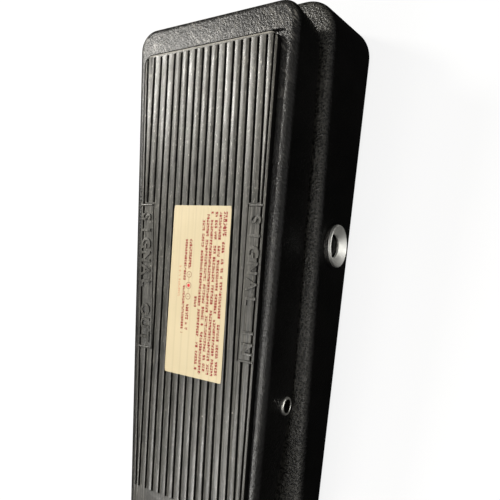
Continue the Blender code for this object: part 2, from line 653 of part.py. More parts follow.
under = TR_TOP_V - TR_PLATE_T
link = on_rock("rack_link", box(-9.0, 9.0, PIN_U - 9.0, PIN_U + 9.0, under - 2.1, under - 0.1), STEEL)
for side in (-1, 1):
    x0, x1 = sorted((side * 4.0, side * 5.6))
    join(link, box(x0, x1, PIN_U - 4.0, PIN_U + 4.0, PIN_V, under - 1.0), "link_ear_%d" % side, SLOPE)
    join(link, cylinder((1, 0, 0), (x0, PIN_U, PIN_V), 4.0, x1 - x0, seg=20), "link_eye_%d" % side, SLOPE)
join(link, cylinder((1, 0, 0), (-6.4, PIN_U, PIN_V), PIN_R, 12.8, seg=16), "link_pin", SLOPE)

PITCH = math.pi * MODULE
HALF_TOOTH = PITCH / 4 - 0.07
ADD, DED = MODULE, MODULE * 1.25
RACK_BOTTOM, RACK_TEETH_TOP = 8.4, 25.5
RACK_BACK = PITCH_Y - 4.9
HEAD = (pin_y1 - 4.6, pin_y0 + 4.2)


def rack_outline():
    """Side view of the rack, y and z: toothed stem below, head above."""
    pts = [(RACK_BACK, RACK_BOTTOM), (PITCH_Y - DED, RACK_BOTTOM)]
    k0 = int(math.ceil((RACK_BOTTOM + 0.9 - PINION_Z) / PITCH))
    k1 = int(math.floor((RACK_TEETH_TOP - PINION_Z) / PITCH))
    for k in range(k0, k1 + 1):
        zc = PINION_Z + k * PITCH
        root = HALF_TOOTH + DED * math.tan(PRESSURE)
        tip = HALF_TOOTH - ADD * math.tan(PRESSURE)
        pts += [(PITCH_Y - DED, zc - root), (PITCH_Y + ADD, zc - tip), (PITCH_Y + ADD, zc + tip),
                (PITCH_Y - DED, zc + root)]
    head_z = pin_z0 - 4.4
    pts += [(PITCH_Y - DED, head_z), (HEAD[1], head_z), (HEAD[1], pin_z0 + 4.4), (HEAD[0], pin_z0 + 4.4),
            (HEAD[0], head_z), (RACK_BACK, head_z)]
    return pts


SIDE = Matrix(((0, 0, 1, 0), (1, 0, 0, 0), (0, 1, 0, 0), (0, 0, 0, 1)))
rack = new_object("gear_rack", moved(loft(rack_outline(), rack_outline(), -2.8, 2.8), SIDE), BRASS, smooth=False)
slot_mid = (pin_y0 + pin_y1) / 2
slot_half = (pin_y0 - pin_y1) / 2 + PIN_R + 0.35
slot = round_corners([(slot_mid - slot_half, pin_z0 - PIN_R - 0.14), (slot_mid + slot_half, pin_z0 - PIN_R - 0.14),
                      (slot_mid + slot_half, pin_z0 + PIN_R + 0.14), (slot_mid - slot_half, pin_z0 + PIN_R + 0.14)],
                     PIN_R + 0.05, 5)
cut(rack, moved(outline_mesh(slot, -6.0, 6.0), SIDE), "rack_head_slot")


def pinion_outline():
    """Involute teeth, the first gap facing the rack (towards -Y)."""
    rp = MODULE * TEETH / 2
    rb = rp * math.cos(PRESSURE)
    ra, rf = rp + ADD, rp - DED
    inv = lambda a: math.tan(a) - a
    half = HALF_TOOTH / rp + inv(PRESSURE)
    flank = []
    for i in range(4):
        r = rb + (ra - rb) * i / 3.0
        flank.append((r, half - inv(math.acos(min(1.0, rb / r)))))
    pts = []
    for k in range(TEETH):
        mid = math.pi + (k + 0.5) * 2 * math.pi / TEETH
        rows = [(rf, half + 0.02)] + flank
        for r, a in rows:
            pts.append((r * math.cos(mid - a), r * math.sin(mid - a)))
        for r, a in reversed(rows):
            pts.append((r * math.cos(mid + a), r * math.sin(mid + a)))
    return pts


AXLE_Y = PITCH_Y + MODULE * TEETH / 2
pinion = new_object("pinion", moved(loft(pinion_outline(), pinion_outline(), -3.8, 3.8), SIDE), BRASS, None, pot_axis,
                    smooth=False)
POT = shift(0, AXLE_Y, PINION_Z)
cut(pinion, cylinder((1, 0, 0), (-10, 0, 0), 3.1, 20, seg=24), "pinion_bore", POT)
pot_shaft = new_object("pot_shaft", turned([(0, 14.0), (3.0, 14.0), (3.0, -4.4), (2.6, -4.8), (0, -4.8)], (1, 0, 0),
                                           (0, 0, 0), 24), STEEL, None, pot_axis)
pot_body = new_object("pot_body", turned([(0, 22.0), (7.6, 22.0), (8.0, 21.6), (8.0, 12.0), (3.5, 12.0), (3.5, 5.2),
                                          (3.12, 5.2), (3.12, 14.6), (0, 14.6)], (1, 0, 0), (0, AXLE_Y, PINION_Z), 24),
                      STEEL)
pot_nut = new_object("pot_nut", cylinder((1, 0, 0), (6.0, AXLE_Y, PINION_Z), 5.6, 2.2, seg=6), NICKEL, smooth=False)
cut(pot_nut, cylinder((1, 0, 0), (0, AXLE_Y, PINION_Z), 3.6, 20, seg=24), "pot_nut_bore")

UNDER_V = DECK_V - DECK_T
bracket_u = ((-5.7 - PIVOT_Y) * math.cos(TILT) + (PINION_Z - PIVOT_Z) * math.sin(TILT))
bracket_v = (-(-5.7 - PIVOT_Y) * math.sin(TILT) + (PINION_Z - PIVOT_Z) * math.cos(TILT))
bracket = new_object("pot_bracket", box(8.5, 10.0, bracket_u - 15.0, bracket_u + 10.0, bracket_v - 9.0, UNDER_V - 0.2),
                     STEEL, SLOPE, smooth=False)
join(bracket, box(8.5, 25.0, bracket_u - 15.0, bracket_u - 10.0, UNDER_V - 1.7, UNDER_V - 0.2), "bracket_foot", SLOPE)
cut(bracket, cylinder((1, 0, 0), (0, AXLE_Y, PINION_Z), 3.6, 30, seg=24), "bracket_hole")

guide_pts = [(-5.2, -22.0), (8.2, -22.0), (8.2, -17.6), (5.2, -17.6), (5.2, -14.4), (3.1, -14.4), (3.1, RACK_BACK - 0.3),
             (-3.1, RACK_BACK - 0.3), (-3.1, -14.4), (-5.2, -14.4)]
new_object("rack_guide", outline_mesh(guide_pts, 10.0, 26.6), NYLON, smooth=False)

# ---------------------------------------------------------------- toe switch
SW = switch_axis.matrix_world.copy()
switch = new_object("switch_body", box(-8.5, 8.5, -8.5, 8.5, UNDER_V - 16.0, UNDER_V - 0.2), BLACK_PLASTIC, SW,
                    smooth=False)
join(switch, cylinder((0, 0, 1), (0, 0, UNDER_V - 6), 6.0, 2.2 - UNDER_V + 6, seg=24), "switch_bushing", SW)
cut(switch, cylinder((0, 0, 1), (0, 0, UNDER_V - 8), 4.1, 40, seg=24), "switch_bore", SW)
nut = new_object("switch_nut", cylinder((0, 0, 1), (0, 0, DECK_V + 1.35), 9.2, 2.4, seg=6), NICKEL, SW, smooth=False)
cut(nut, cylinder((0, 0, 1), (0, 0, -20), 6.15, 40, seg=24), "switch_nut_bore", SW)
washer = new_object("switch_washer", turned([(8.6, 1.1), (8.6, 0.2), (6.15, 0.2), (6.15, 1.1)], (0, 0, 1),
                                            (0, 0, DECK_V), 24), STEEL, SW)
plunger = new_object("switch_plunger", turned([(0, 6.2), (2.6, 6.0), (3.7, 5.2), (3.8, 4.6), (3.8, -9.0), (0, -9.0)],
                                              (0, 0, 1), (0, 0, 0), 24), STEEL, None, switch_axis)
on_rock("toe_bumper", turned([(0, under - 0.1), (9.0, under - 0.1), (9.0, under - 4.6), (7.6, under - 6.3),
                              (0, under - 6.3)], (0, 0, 1), (0, 148.0, 0), 24), RUBBER)

# ---------------------------------------------------------------- jacks
for side, tag, rgb in ((1, "input", BLACK_PLASTIC), (-1, "output", BLACK_PLASTIC)):
    x0, x1 = sorted((side * 18.0, side * 43.2))
    body = new_object(tag + "_jack_body", box(x0, x1, JACK_Y - 8.6, JACK_Y + 8.6, JACK_Z - 8.6, JACK_Z + 7.6), rgb,
                      smooth=False)
    join(body, cylinder((side, 0, 0), (side * 40.0, JACK_Y, JACK_Z), 4.9, 5.4, seg=24), tag + "_bushing")
    cut(body, cylinder((side, 0, 0), (side * 20.0, JACK_Y, JACK_Z), JACK_BORE_R, 40.0, seg=24), tag + "_jack_bore")
    ring = turned([(8.95, 1.65), (9.5, 1.4), (9.75, 0.8), (9.75, 0.15), (7.4, 0.15), (7.4, -1.9), (5.35, -1.9),
                   (5.35, -1.55), (8.35, 1.4)], (side, 0, 0), (side * JACK_FACE_X, JACK_Y, JACK_Z), 40)
    new_object(tag + "_jack_ring", ring, NICKEL)

dc = new_object("dc_jack_body", box(-43.8, -31.5, DC_Y - 6.5, DC_Y + 6.5, DC_Z - 6.5, DC_Z + 6.5), BLACK_PLASTIC,
                smooth=False)
join(dc, cylinder((-1, 0, 0), (-42.0, DC_Y, DC_Z), 5.4, 7.3, seg=24), "dc_bushing")
cut(dc, turned([(2.9, 30.0), (2.9, 0.0), (1.0, 0.0), (1.0, 30.0)], (-1, 0, 0), (-35.0, DC_Y, DC_Z), 24), "dc_bore")
cut(dc, cylinder((-1, 0, 0), (-47.6, DC_Y, DC_Z), 2.0, 4.0, seg=24), "dc_pin_end")
dc_nut = new_object("dc_jack_nut", turned([(7.0, 1.6), (7.4, 1.2), (7.4, 0.2), (5.6, 0.2), (5.6, 1.6)], (-1, 0, 0),
                                          (-DC_FACE_X, DC_Y, DC_Z), 28), NICKEL)

# ---------------------------------------------------------------- battery and circuit
battery = new_object("battery", outline_mesh(round_corners([(-12.0, 26.0), (36.5, 26.0), (36.5, 52.5), (-12.0, 52.5)],
                                                           2.0, 3), 8.4, 25.9), ((0.25, 0.27, 0.30), 0.35, 0.6))
for i, (by, br) in enumerate(((32.9, 2.9), (45.6, 3.6))):
    join(battery, cylinder((-1, 0, 0), (-11.0, by, 17.15), br, 3.2, seg=16), "terminal_%d" % i)
snap = new_object("battery_snap", box(-19.0, -12.4, 26.4, 52.1, 8.8, 25.5), BLACK_PLASTIC, smooth=False)
for i, (by, br) in enumerate(((32.9, 2.9), (45.6, 3.6))):
    cut(snap, cylinder((-1, 0, 0), (-10.0, by, 17.15), br + 0.25, 6.0, seg=16), "snap_socket_%d" % i)

board = new_object("circuit_board", box(-38.0, 38.0, 56.5, 79.0, 14.2, 15.8), ((0.03, 0.20, 0.08), 0.4, 0.0),
                   smooth=False)
BOARD_Z = 16.0
new_object("inductor", turned([(0, 9.0), (7.0, 9.0), (7.6, 8.4), (7.6, 0), (0, 0)], (0, 0, 1),
                              (-16.0, 67.5, BOARD_Z), 24), ((0.45, 0.10, 0.05), 0.4, 0.0))
for i, px in enumerate((0.0, 8.0)):
    new_object("transistor_%d" % (i + 1),
               outline_mesh([(px + 2.4 * math.cos(math.radians(a)), 62.0 + 2.4 * math.sin(math.radians(a)))
                             for a in range(-30, 211, 20)], BOARD_Z, BOARD_Z + 4.6), BLACK_PLASTIC, smooth=False)
new_object("capacitor_electrolytic", turned([(0, 10.0), (2.8, 10.0), (3.1, 9.7), (3.1, 0), (0, 0)], (0, 0, 1),
                                            (17.0, 63.0, BOARD_Z), 20), ((0.04, 0.08, 0.22), 0.4, 0.0))
for i, px in enumerate((4.0, 15.0)):
    new_object("capacitor_film_%d" % (i + 1), box(px - 3.6, px + 3.6, 72.0, 75.2, BOARD_Z, BOARD_Z + 7.0),
               ((0.55, 0.35, 0.06), 0.4, 0.0), smooth=False)

LEAD_R = 0.7
wire("battery_lead_red", [(-19.8, 33.0, 21.5), (-23.0, 33.5, 21.6), (-27.0, 40.0, 20.6), (-27.5, 50.0, 19.5),
                          (-28.0, 57.0, 19.0), (-28.0, 60.5, 18.3), (-28.0, 61.5, 16.6)], LEAD_R, (0.45, 0.02, 0.02))
wire("battery_lead_black", [(-19.8, 45.0, 21.5), (-22.5, 45.6, 21.5), (-24.4, 50.0, 20.5), (-25.0, 56.0, 19.6),
                            (-25.3, 61.0, 18.6), (-25.3, 62.5, 16.6)], LEAD_R, (0.015, 0.015, 0.015))
wire("input_lead", [(31.0, 24.0, 13.0), (31.0, 24.9, 13.0), (38.6, 25.6, 14.0), (39.7, 32.0, 20.0),
                    (39.8, 45.0, 21.5), (37.0, 56.0, 21.5), (34.0, 61.0, 20.0), (29.0, 63.0, 18.6),
                    (28.5, 64.0, 16.6)], LEAD_R, (0.6, 0.6, 0.58))
wire("output_lead", [(-30.0, 24.1, 22.0), (-30.0, 26.8, 22.0), (-28.4, 36.0, 23.4), (-28.6, 48.0, 25.0),
                     (-30.6, 58.0, 22.5), (-31.2, 61.0, 19.5), (-31.2, 61.2, 16.6)], LEAD_R, (0.02, 0.12, 0.35))
wire("pot_lead", [(22.4, -5.7, 24.0), (24.4, -5.7, 24.4), (27.0, 1.5, 28.1), (25.0, 12.0, 28.6), (16.0, 23.0, 28.4),
                  (6.0, 40.0, 28.4), (-3.0, 56.0, 27.2), (-5.0, 66.0, 21.0), (-5.0, 68.0, 16.6)], LEAD_R,
     (0.5, 0.42, 0.03))
wire("switch_lead", [(0.0, 81.0, 23.0), (0.0, 79.3, 23.0), (-2.0, 75.0, 22.0), (-4.0, 73.5, 19.5), (-4.4, 73.0, 16.6)],
     LEAD_R, (0.02, 0.25, 0.08))
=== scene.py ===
import json
import math
import random

import bmesh
import bpy
import numpy as np
from mathutils import Matrix, Vector, noise

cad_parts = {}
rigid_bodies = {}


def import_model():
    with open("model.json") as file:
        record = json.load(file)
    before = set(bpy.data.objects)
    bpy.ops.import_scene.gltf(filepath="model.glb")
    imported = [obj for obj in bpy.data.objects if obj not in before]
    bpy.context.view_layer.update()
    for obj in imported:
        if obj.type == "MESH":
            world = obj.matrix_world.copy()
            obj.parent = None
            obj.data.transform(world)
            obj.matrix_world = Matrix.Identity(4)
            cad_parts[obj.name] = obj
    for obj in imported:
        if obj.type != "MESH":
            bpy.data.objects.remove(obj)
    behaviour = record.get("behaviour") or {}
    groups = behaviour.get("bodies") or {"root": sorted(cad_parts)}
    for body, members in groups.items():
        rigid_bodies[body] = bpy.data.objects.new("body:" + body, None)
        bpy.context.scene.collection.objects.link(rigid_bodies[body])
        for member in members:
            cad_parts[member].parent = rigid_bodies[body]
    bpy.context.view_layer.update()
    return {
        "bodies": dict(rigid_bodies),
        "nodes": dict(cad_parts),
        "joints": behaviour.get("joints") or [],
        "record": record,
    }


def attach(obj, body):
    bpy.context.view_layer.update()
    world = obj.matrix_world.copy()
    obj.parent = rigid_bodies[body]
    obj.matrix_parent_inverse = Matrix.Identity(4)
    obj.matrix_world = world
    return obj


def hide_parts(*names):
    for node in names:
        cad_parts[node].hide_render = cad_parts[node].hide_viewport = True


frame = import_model()
MM = 0.001

# ---------------------------------------------------------------- the part's own dimensions, in mm
FOOT_H = 5.0
BASE_TOE_Y, BASE_HEEL_Y = 129.3, -129.3
BASE_HW_TOE, BASE_HW_HEEL = 51.2, 44.05
BASE_CORNER_R, BASE_TOP_R, BASE_TOP_H = 20.0, 15.0, 40.0
SIDE_DRAFT, TOE_DRAFT, HEEL_DRAFT = 0.07, 0.165, 0.12
BASE_WALL, DECK_T, DECK_EDGE_R = 3.4, 3.5, 3.0
DECK_SLOPE, DECK_Z0, DECK_Y0 = 0.0962, 39.5, 74.6
TILT = math.atan(DECK_SLOPE)
PIVOT_Y, PIVOT_Z = -57.6, 34.2
TR_TOE_U, TR_HEEL_U, TR_TOP_V = 170.6, -67.9, 17.6
TR_CORNER_R, TR_EDGE_R, TR_PLATE_T, TR_WALL = 9.5, 3.4, 4.6, 3.2
TR_TAPER, TR_HW0, TR_RECESS = 0.0390, 42.57, 1.5
SKIRT_V, SKIRT_FRONT_V, SKIRT_TOE_V, SKIRT_TOE_U, SKIRT_HEEL_V = -5.3, -2.6, -0.7, 153.0, 8.0
TREADLE_TOE_DRAFT, RECESS = 3.4, 4.2
PAD_TOP_V = TR_TOP_V + 1.75
PAD_BOTTOM_V = TR_TOP_V - TR_RECESS + 0.3
PAD_TOE_U, PAD_HEEL_U = 156.6, -61.6
RIB_PITCH, GROOVE_W, GROOVE_D, GROOVE_X0 = 4.10, 1.0, 1.35, 30.2
SHAFT_R, SHAFT_HALF, BUSH_OR = 4.0, 38.6, 5.5
LUG_R, LUG_IN, LUG_OUT = 8.5, 19.5, 27.0
JACK_Y, JACK_Z, JACK_FACE_X = 14.8, 18.7, 47.8
DC_Y, DC_Z, DC_FACE_X = 48.0, 20.5, 48.5
FEET = [(-34.0, 104.0), (34.0, 104.0), (-31.0, -106.0), (31.0, -106.0)]


def shift(x, y, z):
    return Matrix.Translation((x * MM, y * MM, z * MM))


WORLD = Matrix.Identity(4)
SLOPE = shift(0, PIVOT_Y, PIVOT_Z) @ Matrix.Rotation(TILT, 4, "X")


def deck_z(y):
    return DECK_Z0 + DECK_SLOPE * (y - DECK_Y0)


DECK_V = (deck_z(PIVOT_Y) - PIVOT_Z) * math.cos(TILT)
UNDER = TR_TOP_V - TR_PLATE_T

# ---------------------------------------------------------------- mesh makers
shop = bpy.data.collections.new("workshop")
bpy.context.scene.collection.children.link(shop)


def to_mesh(bm):
    me = bpy.data.meshes.new("shape")
    bm.to_mesh(me)
    bm.free()
    return me


def box(x0, x1, y0, y1, z0, z1):
    bm = bmesh.new()
    size = Matrix.Diagonal(((x1 - x0) * MM, (y1 - y0) * MM, (z1 - z0) * MM, 1.0))
    bmesh.ops.create_cube(bm, size=1.0, matrix=shift((x0 + x1) / 2, (y0 + y1) / 2, (z0 + z1) / 2) @ size)
    return to_mesh(bm)


def cylinder(axis, centre, r, length, seg=64, r2=None):
    bm = bmesh.new()
    bmesh.ops.create_cone(bm, cap_ends=True, segments=seg, radius1=r * MM, radius2=(r if r2 is None else r2) * MM,
                          depth=length * MM, matrix=shift(0, 0, length / 2))
    rot = Vector((0, 0, 1)).rotation_difference(Vector(axis)).to_matrix().to_4x4()
    bm.transform(shift(*centre) @ rot)
    return to_mesh(bm)


def loft(lower, upper, z0, z1):
    bm = bmesh.new()
    lo = [bm.verts.new((x * MM, y * MM, z0 * MM)) for x, y in lower]
    up = [bm.verts.new((x * MM, y * MM, z1 * MM)) for x, y in upper]
    n = len(lo)
    for i in range(n):
        j = (i + 1) % n
        bm.faces.new((lo[i], lo[j], up[j], up[i]))
    bm.faces.new(list(reversed(lo)))
    bm.faces.new(up)
    bmesh.ops.recalc_face_normals(bm, faces=bm.faces)
    return to_mesh(bm)


def turned(profile, axis, centre, seg=96):
    """Body of revolution from (radius, height) points; closed on the axis or, for a ring, on itself."""
    ring = all(r > 1e-6 for r, h in profile)
    bm = bmesh.new()
    rows = []
    for k in range(seg):
        a = 2 * math.pi * k / seg
        rows.append([bm.verts.new((r * MM * math.cos(a), r * MM * math.sin(a), h * MM)) if r > 1e-6 else None
                     for r, h in profile])
    poles = {i: bm.verts.new((0, 0, h * MM)) for i, (r, h) in enumerate(profile) if r <= 1e-6}
    n = len(profile)
    for k in range(seg):
        a, b = rows[k], rows[(k + 1) % seg]
        for i in range(n if ring else n - 1):
            j = (i + 1) % n
            loop = []
            for row, idx in ((a, i), (a, j), (b, j), (b, i)):
                v = poles[idx] if row[idx] is None else row[idx]
                if v not in loop:
                    loop.append(v)
            if len(loop) > 2:
                bm.faces.new(loop)
    bmesh.ops.recalc_face_normals(bm, faces=bm.faces)
    rot = Vector((0, 0, 1)).rotation_difference(Vector(axis)).to_matrix().to_4x4()
    bm.transform(shift(*centre) @ rot)
    return to_mesh(bm)


def arc(cx, cy, r, a0, a1, n):
    return [(cx + r * math.cos(math.radians(a0 + (a1 - a0) * k / n)), cy + r * math.sin(math.radians(a0 + (a1 - a0) * k / n)))
            for k in range(n + 1)]


def round_corners(corners, radius, seg=16):
    out = []
    n = len(corners)
    for i in range(n):
        p = Vector(corners[i])
        a = (Vector(corners[i - 1]) - p).normalized()
        b = (Vector(corners[(i + 1) % n]) - p).normalized()
        half = a.angle(b) / 2
        reach = radius / math.tan(half)
        centre = p + (a + b).normalized() * (radius / math.sin(half))
        t0 = p + a * reach - centre
        t1 = p + b * reach - centre
        sweep = t0.angle_signed(t1)
        for k in range(seg + 1):
            c, s = math.cos(-sweep * k / seg), math.sin(-sweep * k / seg)
            out.append((centre.x + t0.x * c - t0.y * s, centre.y + t0.x * s + t0.y * c))
    return out


class Work:
    """A piece being cut and joined; its result is one clean mesh."""

    def __init__(self, mesh, frame=WORLD):
        self.o = bpy.data.objects.new("work", mesh)
        shop.objects.link(self.o)
        self.o.matrix_world = frame
        self.tools = []

    def _use(self, mesh, frame, op):
        t = bpy.data.objects.new("tool", mesh)
        shop.objects.link(t)
        t.matrix_world = frame
        m = self.o.modifiers.new("b", "BOOLEAN")
        m.operation, m.solver, m.object = op, "EXACT", t
        self.tools.append(t)
        return self

    def cut(self, mesh, frame=WORLD):
        return self._use(mesh, frame, "DIFFERENCE")

    def join(self, mesh, frame=WORLD):
        return self._use(mesh, frame, "UNION")

    def done(self, tidy=0.0):
        dg = bpy.context.evaluated_depsgraph_get()
        me = bpy.data.meshes.new_from_object(self.o.evaluated_get(dg))
        me.transform(self.o.matrix_world)
        bpy.data.objects.remove(self.o, do_unlink=True)
        for t in self.tools:
            bpy.data.objects.remove(t, do_unlink=True)
        bm = bmesh.new()
        bm.from_mesh(me)
        bmesh.ops.remove_doubles(bm, verts=bm.verts, dist=2e-6)
        if tidy:
            bmesh.ops.dissolve_degenerate(bm, edges=bm.edges, dist=tidy)
        bm.to_mesh(me)
        bm.free()
        me.materials.clear()
        return me


def piece(name, mesh, mat, body, replaces=(), bevel=0.0, segments=2, angle=35, smooth=True, limit=30):
    o = bpy.data.objects.new(name, mesh)
    bpy.context.scene.collection.objects.link(o)
    mesh.materials.clear()
    mesh.materials.append(mat)
    if bevel:
        m = o.modifiers.new("edge", "BEVEL")
        m.width = bevel * MM
        m.segments = segments
        m.limit_method = "ANGLE"
        m.angle_limit = math.radians(limit)
        m.use_clamp_overlap = True
        m.harden_normals = False
        dg = bpy.context.evaluated_depsgraph_get()
        me = bpy.data.meshes.new_from_object(o.evaluated_get(dg))
        o.modifiers.clear()
        o.data = me
        bpy.data.meshes.remove(mesh)
        mesh = me
    if smooth:
        mesh.shade_smooth()
        mesh.set_sharp_from_angle(angle=math.radians(angle))
    mesh.name = name
    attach(o, body)
    if replaces:
        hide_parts(*replaces)
    return o


# ---------------------------------------------------------------- node material kit
class Mat:
    def __init__(self, name):
        self.m = bpy.data.materials.new(name)
        self.m.use_nodes = True
        self.t = self.m.node_tree
        self.b = self.t.nodes["Principled BSDF"]
        self.tc = self.t.nodes.new("ShaderNodeTexCoord")

    def new(self, kind, **kw):
        n = self.t.nodes.new(kind)
        for k, v in kw.items():
            setattr(n, k, v)
        return n

    def link(self, a, b):
        self.t.links.new(a, b)
        return b

    def put(self, node, name, value):
        if isinstance(value, (int, float, tuple, list)):
            node.inputs[name].default_value = value
        else:
            self.t.links.new(value, node.inputs[name])

    def place(self, scale=(1, 1, 1), rot=(0, 0, 0), loc=(0, 0, 0), src="Object"):
        n = self.new("ShaderNodeMapping")
        self.link(self.tc.outputs[src], n.inputs["Vector"])
        n.inputs["Scale"].default_value = scale
        n.inputs["Rotation"].default_value = rot
        n.inputs["Location"].default_value = loc
        return n.outputs[0]

    def noise(self, scale, detail=3.0, rough=0.55, vec=None, dims="3D", dist=0.0):
        n = self.new("ShaderNodeTexNoise", noise_dimensions=dims)
        n.inputs["Scale"].default_value = scale
        n.inputs["Detail"].default_value = detail
        n.inputs["Roughness"].default_value = rough
        n.inputs["Distortion"].default_value = dist
        self.link(vec if vec is not None else self.tc.outputs["Object"], n.inputs["Vector"])
        return n.outputs[0]

    def voronoi(self, scale, feature="F1", vec=None, out="Distance", rand=1.0):
        n = self.new("ShaderNodeTexVoronoi", feature=feature)
        n.inputs["Scale"].default_value = scale
        n.inputs["Randomness"].default_value = rand
        self.link(vec if vec is not None else self.tc.outputs["Object"], n.inputs["Vector"])
        return n.outputs[out]

    def ramp(self, fac, a, b, c0=0.0, c1=1.0, mode="LINEAR"):
        n = self.new("ShaderNodeMapRange", interpolation_type=mode)
        n.inputs["From Min"].default_value = a
        n.inputs["From Max"].default_value = b
        n.inputs["To Min"].default_value = c0
        n.inputs["To Max"].default_value = c1
        self.link(fac, n.inputs["Value"])
        return n.outputs[0]

    def math(self, op, a, b=None, clamp=False):
        n = self.new("ShaderNodeMath", operation=op, use_clamp=clamp)
        self.put(n, 0, a)
        if b is not None:
            self.put(n, 1, b)
        return n.outputs[0]

    def mix(self, fac, a, b):
        n = self.new("ShaderNodeMix", data_type="RGBA")
        self.put(n, 0, fac)
        self.put(n, 6, a if not isinstance(a, tuple) else (*a[:3], 1.0))
        self.put(n, 7, b if not isinstance(b, tuple) else (*b[:3], 1.0))
        return n.outputs[2]

    def bump(self, height, strength=0.5, distance=0.0002, normal=None):
        n = self.new("ShaderNodeBump")
        n.inputs["Strength"].default_value = strength
        n.inputs["Distance"].default_value = distance
        self.link(height, n.inputs["Height"])
        if normal is not None:
            self.link(normal, n.inputs["Normal"])
        return n.outputs[0]

    def sep(self, vec):
        n = self.new("ShaderNodeSeparateXYZ")
        self.link(vec, n.inputs[0])
        return n.outputs

    def set(self, **kw):
        names = {"color": "Base Color", "rough": "Roughness", "metal": "Metallic", "normal": "Normal",
                 "spec": "Specular IOR Level", "coat": "Coat Weight", "coat_rough": "Coat Roughness",
                 "sheen": "Sheen Weight", "ior": "IOR"}
        for k, v in kw.items():
            if isinstance(v, tuple) and k == "color":
                v = (*v[:3], 1.0)
            self.put(self.b, names[k], v)
        return self.m


def cast_material(name, dark, light, grain=1.0, scratches=0.0, rough=0.42, cell=1050.0, toe_y=None, dust_and_top_light=0.0):
    """Black wrinkle-coated die casting: pebbled grain whose crests catch the light, dulled where it is touched."""
    m = Mat(name)
    big = m.noise(38.0, 4.0, 0.6)
    fine = m.noise(2600.0, 3.0, 0.6)
    warp = m.noise(500.0, 2.0, 0.5)
    peb = m.voronoi(cell, "SMOOTH_F1")
    peb2 = m.voronoi(cell * 1.9, "F1")
    tone = m.mix(m.ramp(big, 0.35, 0.7), dark, light)
    if dust_and_top_light:
        # fine dust lying on whatever faces up, thickest between the pebbles; it also lightens the up-facing deck as
        # painted light from above
        flat = m.ramp(m.sep(m.tc.outputs["Normal"])[2], 0.55, 0.97)
        spots = m.math("ADD", m.math("MULTIPLY", m.ramp(peb, 0.30, 0.52), 0.95), m.math("MULTIPLY", m.ramp(big, 0.3, 0.7), 0.25))
        tone = m.mix(m.math("MULTIPLY", m.math("MULTIPLY", flat, spots), dust_and_top_light), tone, (0.105, 0.101, 0.089))
    rr = m.ramp(big, 0.3, 0.7, rough - 0.06, rough + 0.08)
    height = m.math("ADD", m.math("MULTIPLY", m.ramp(peb, 0.05, 0.75, 1.0, 0.0), 0.75),
                    m.math("MULTIPLY", m.ramp(peb2, 0.0, 0.7, 1.0, 0.0), 0.35))
    height = m.math("ADD", height, m.math("MULTIPLY", m.math("ADD", fine, warp), 0.25))
    if scratches:
        # scuffs left by shoes, mostly aslant
        parts = []
        for turn, a, b, lo in ((-54, 1050.0, 190.0, 0.585), (-44, 1250.0, 240.0, 0.60), (-63, 1500.0, 260.0, 0.60)):
            v = m.place(scale=(1.0, 1.0, 1.0), rot=(0, 0, math.radians(-turn)))
            mp = m.new("ShaderNodeMapping")
            m.link(v, mp.inputs["Vector"])
            mp.inputs["Scale"].default_value = (b, a, 40.0)
            parts.append(m.ramp(m.noise(1.0, 1.0, 0.4, vec=mp.outputs[0]), lo, lo + 0.09))
        sc = m.math("MAXIMUM", m.math("MAXIMUM", parts[0], parts[1]), m.math("MULTIPLY", parts[2], 0.7))
        patch = m.ramp(m.noise(90.0, 3.0, 0.6), 0.34, 0.62)
        sc = m.math("MULTIPLY", sc, patch)
        up = m.ramp(m.sep(m.tc.outputs["Normal"])[2], 0.55, 0.9)
        sc = m.math("MULTIPLY", sc, up)
        if toe_y is not None:
            ys = m.sep(m.tc.outputs["Object"])[1]
            sc = m.math("MULTIPLY", sc, m.ramp(ys, toe_y - 0.012, toe_y, 0.25, 1.0))
        tone = m.mix(m.math("MULTIPLY", sc, scratches), tone, (0.30, 0.285, 0.255))
        rr = m.math("SUBTRACT", rr, m.math("MULTIPLY", sc, 0.08))
    return m.set(color=tone, rough=rr, spec=0.5, normal=m.bump(height, 0.75 * grain, 0.00030))


def rubber_material(name, dark, light, grain=900.0, rough=0.75):
    m = Mat(name)
    n1 = m.noise(60.0, 4.0, 0.6)
    n2 = m.noise(grain, 3.0, 0.6)
    tone = m.mix(m.ramp(n1, 0.3, 0.7), dark, light)
    return m.set(color=tone, rough=m.ramp(n2, 0.3, 0.7, rough - 0.08, rough + 0.1), spec=0.35,
                 normal=m.bump(n2, 0.25, 0.0001))


def plastic_material(name, dark, light, rough=0.45, grain=1400.0):
    m = Mat(name)
    n1 = m.noise(120.0, 3.0, 0.55)
    n2 = m.noise(grain, 2.0, 0.5)
    return m.set(color=m.mix(m.ramp(n1, 0.3, 0.7), dark, light), rough=m.ramp(n1, 0.3, 0.7, rough - 0.05, rough + 0.08),
                 normal=m.bump(n2, 0.12, 0.00006))


def metal_material(name, base, rough=0.28, streak=(1.0, 1.0, 1.0), tarnish=0.3):
    m = Mat(name)
    n1 = m.noise(140.0, 4.0, 0.6)
    n2 = m.noise(1.0, 3.0, 0.6, vec=m.place(scale=tuple(900.0 * s for s in streak)))
    dull = tuple(c * 0.72 for c in base)
    tone = m.mix(m.math("MULTIPLY", m.ramp(n1, 0.4, 0.75), tarnish), base, dull)
    return m.set(color=tone, metal=1.0, rough=m.ramp(n2, 0.3, 0.75, rough - 0.06, rough + 0.12),
                 normal=m.bump(n2, 0.08, 0.00004))


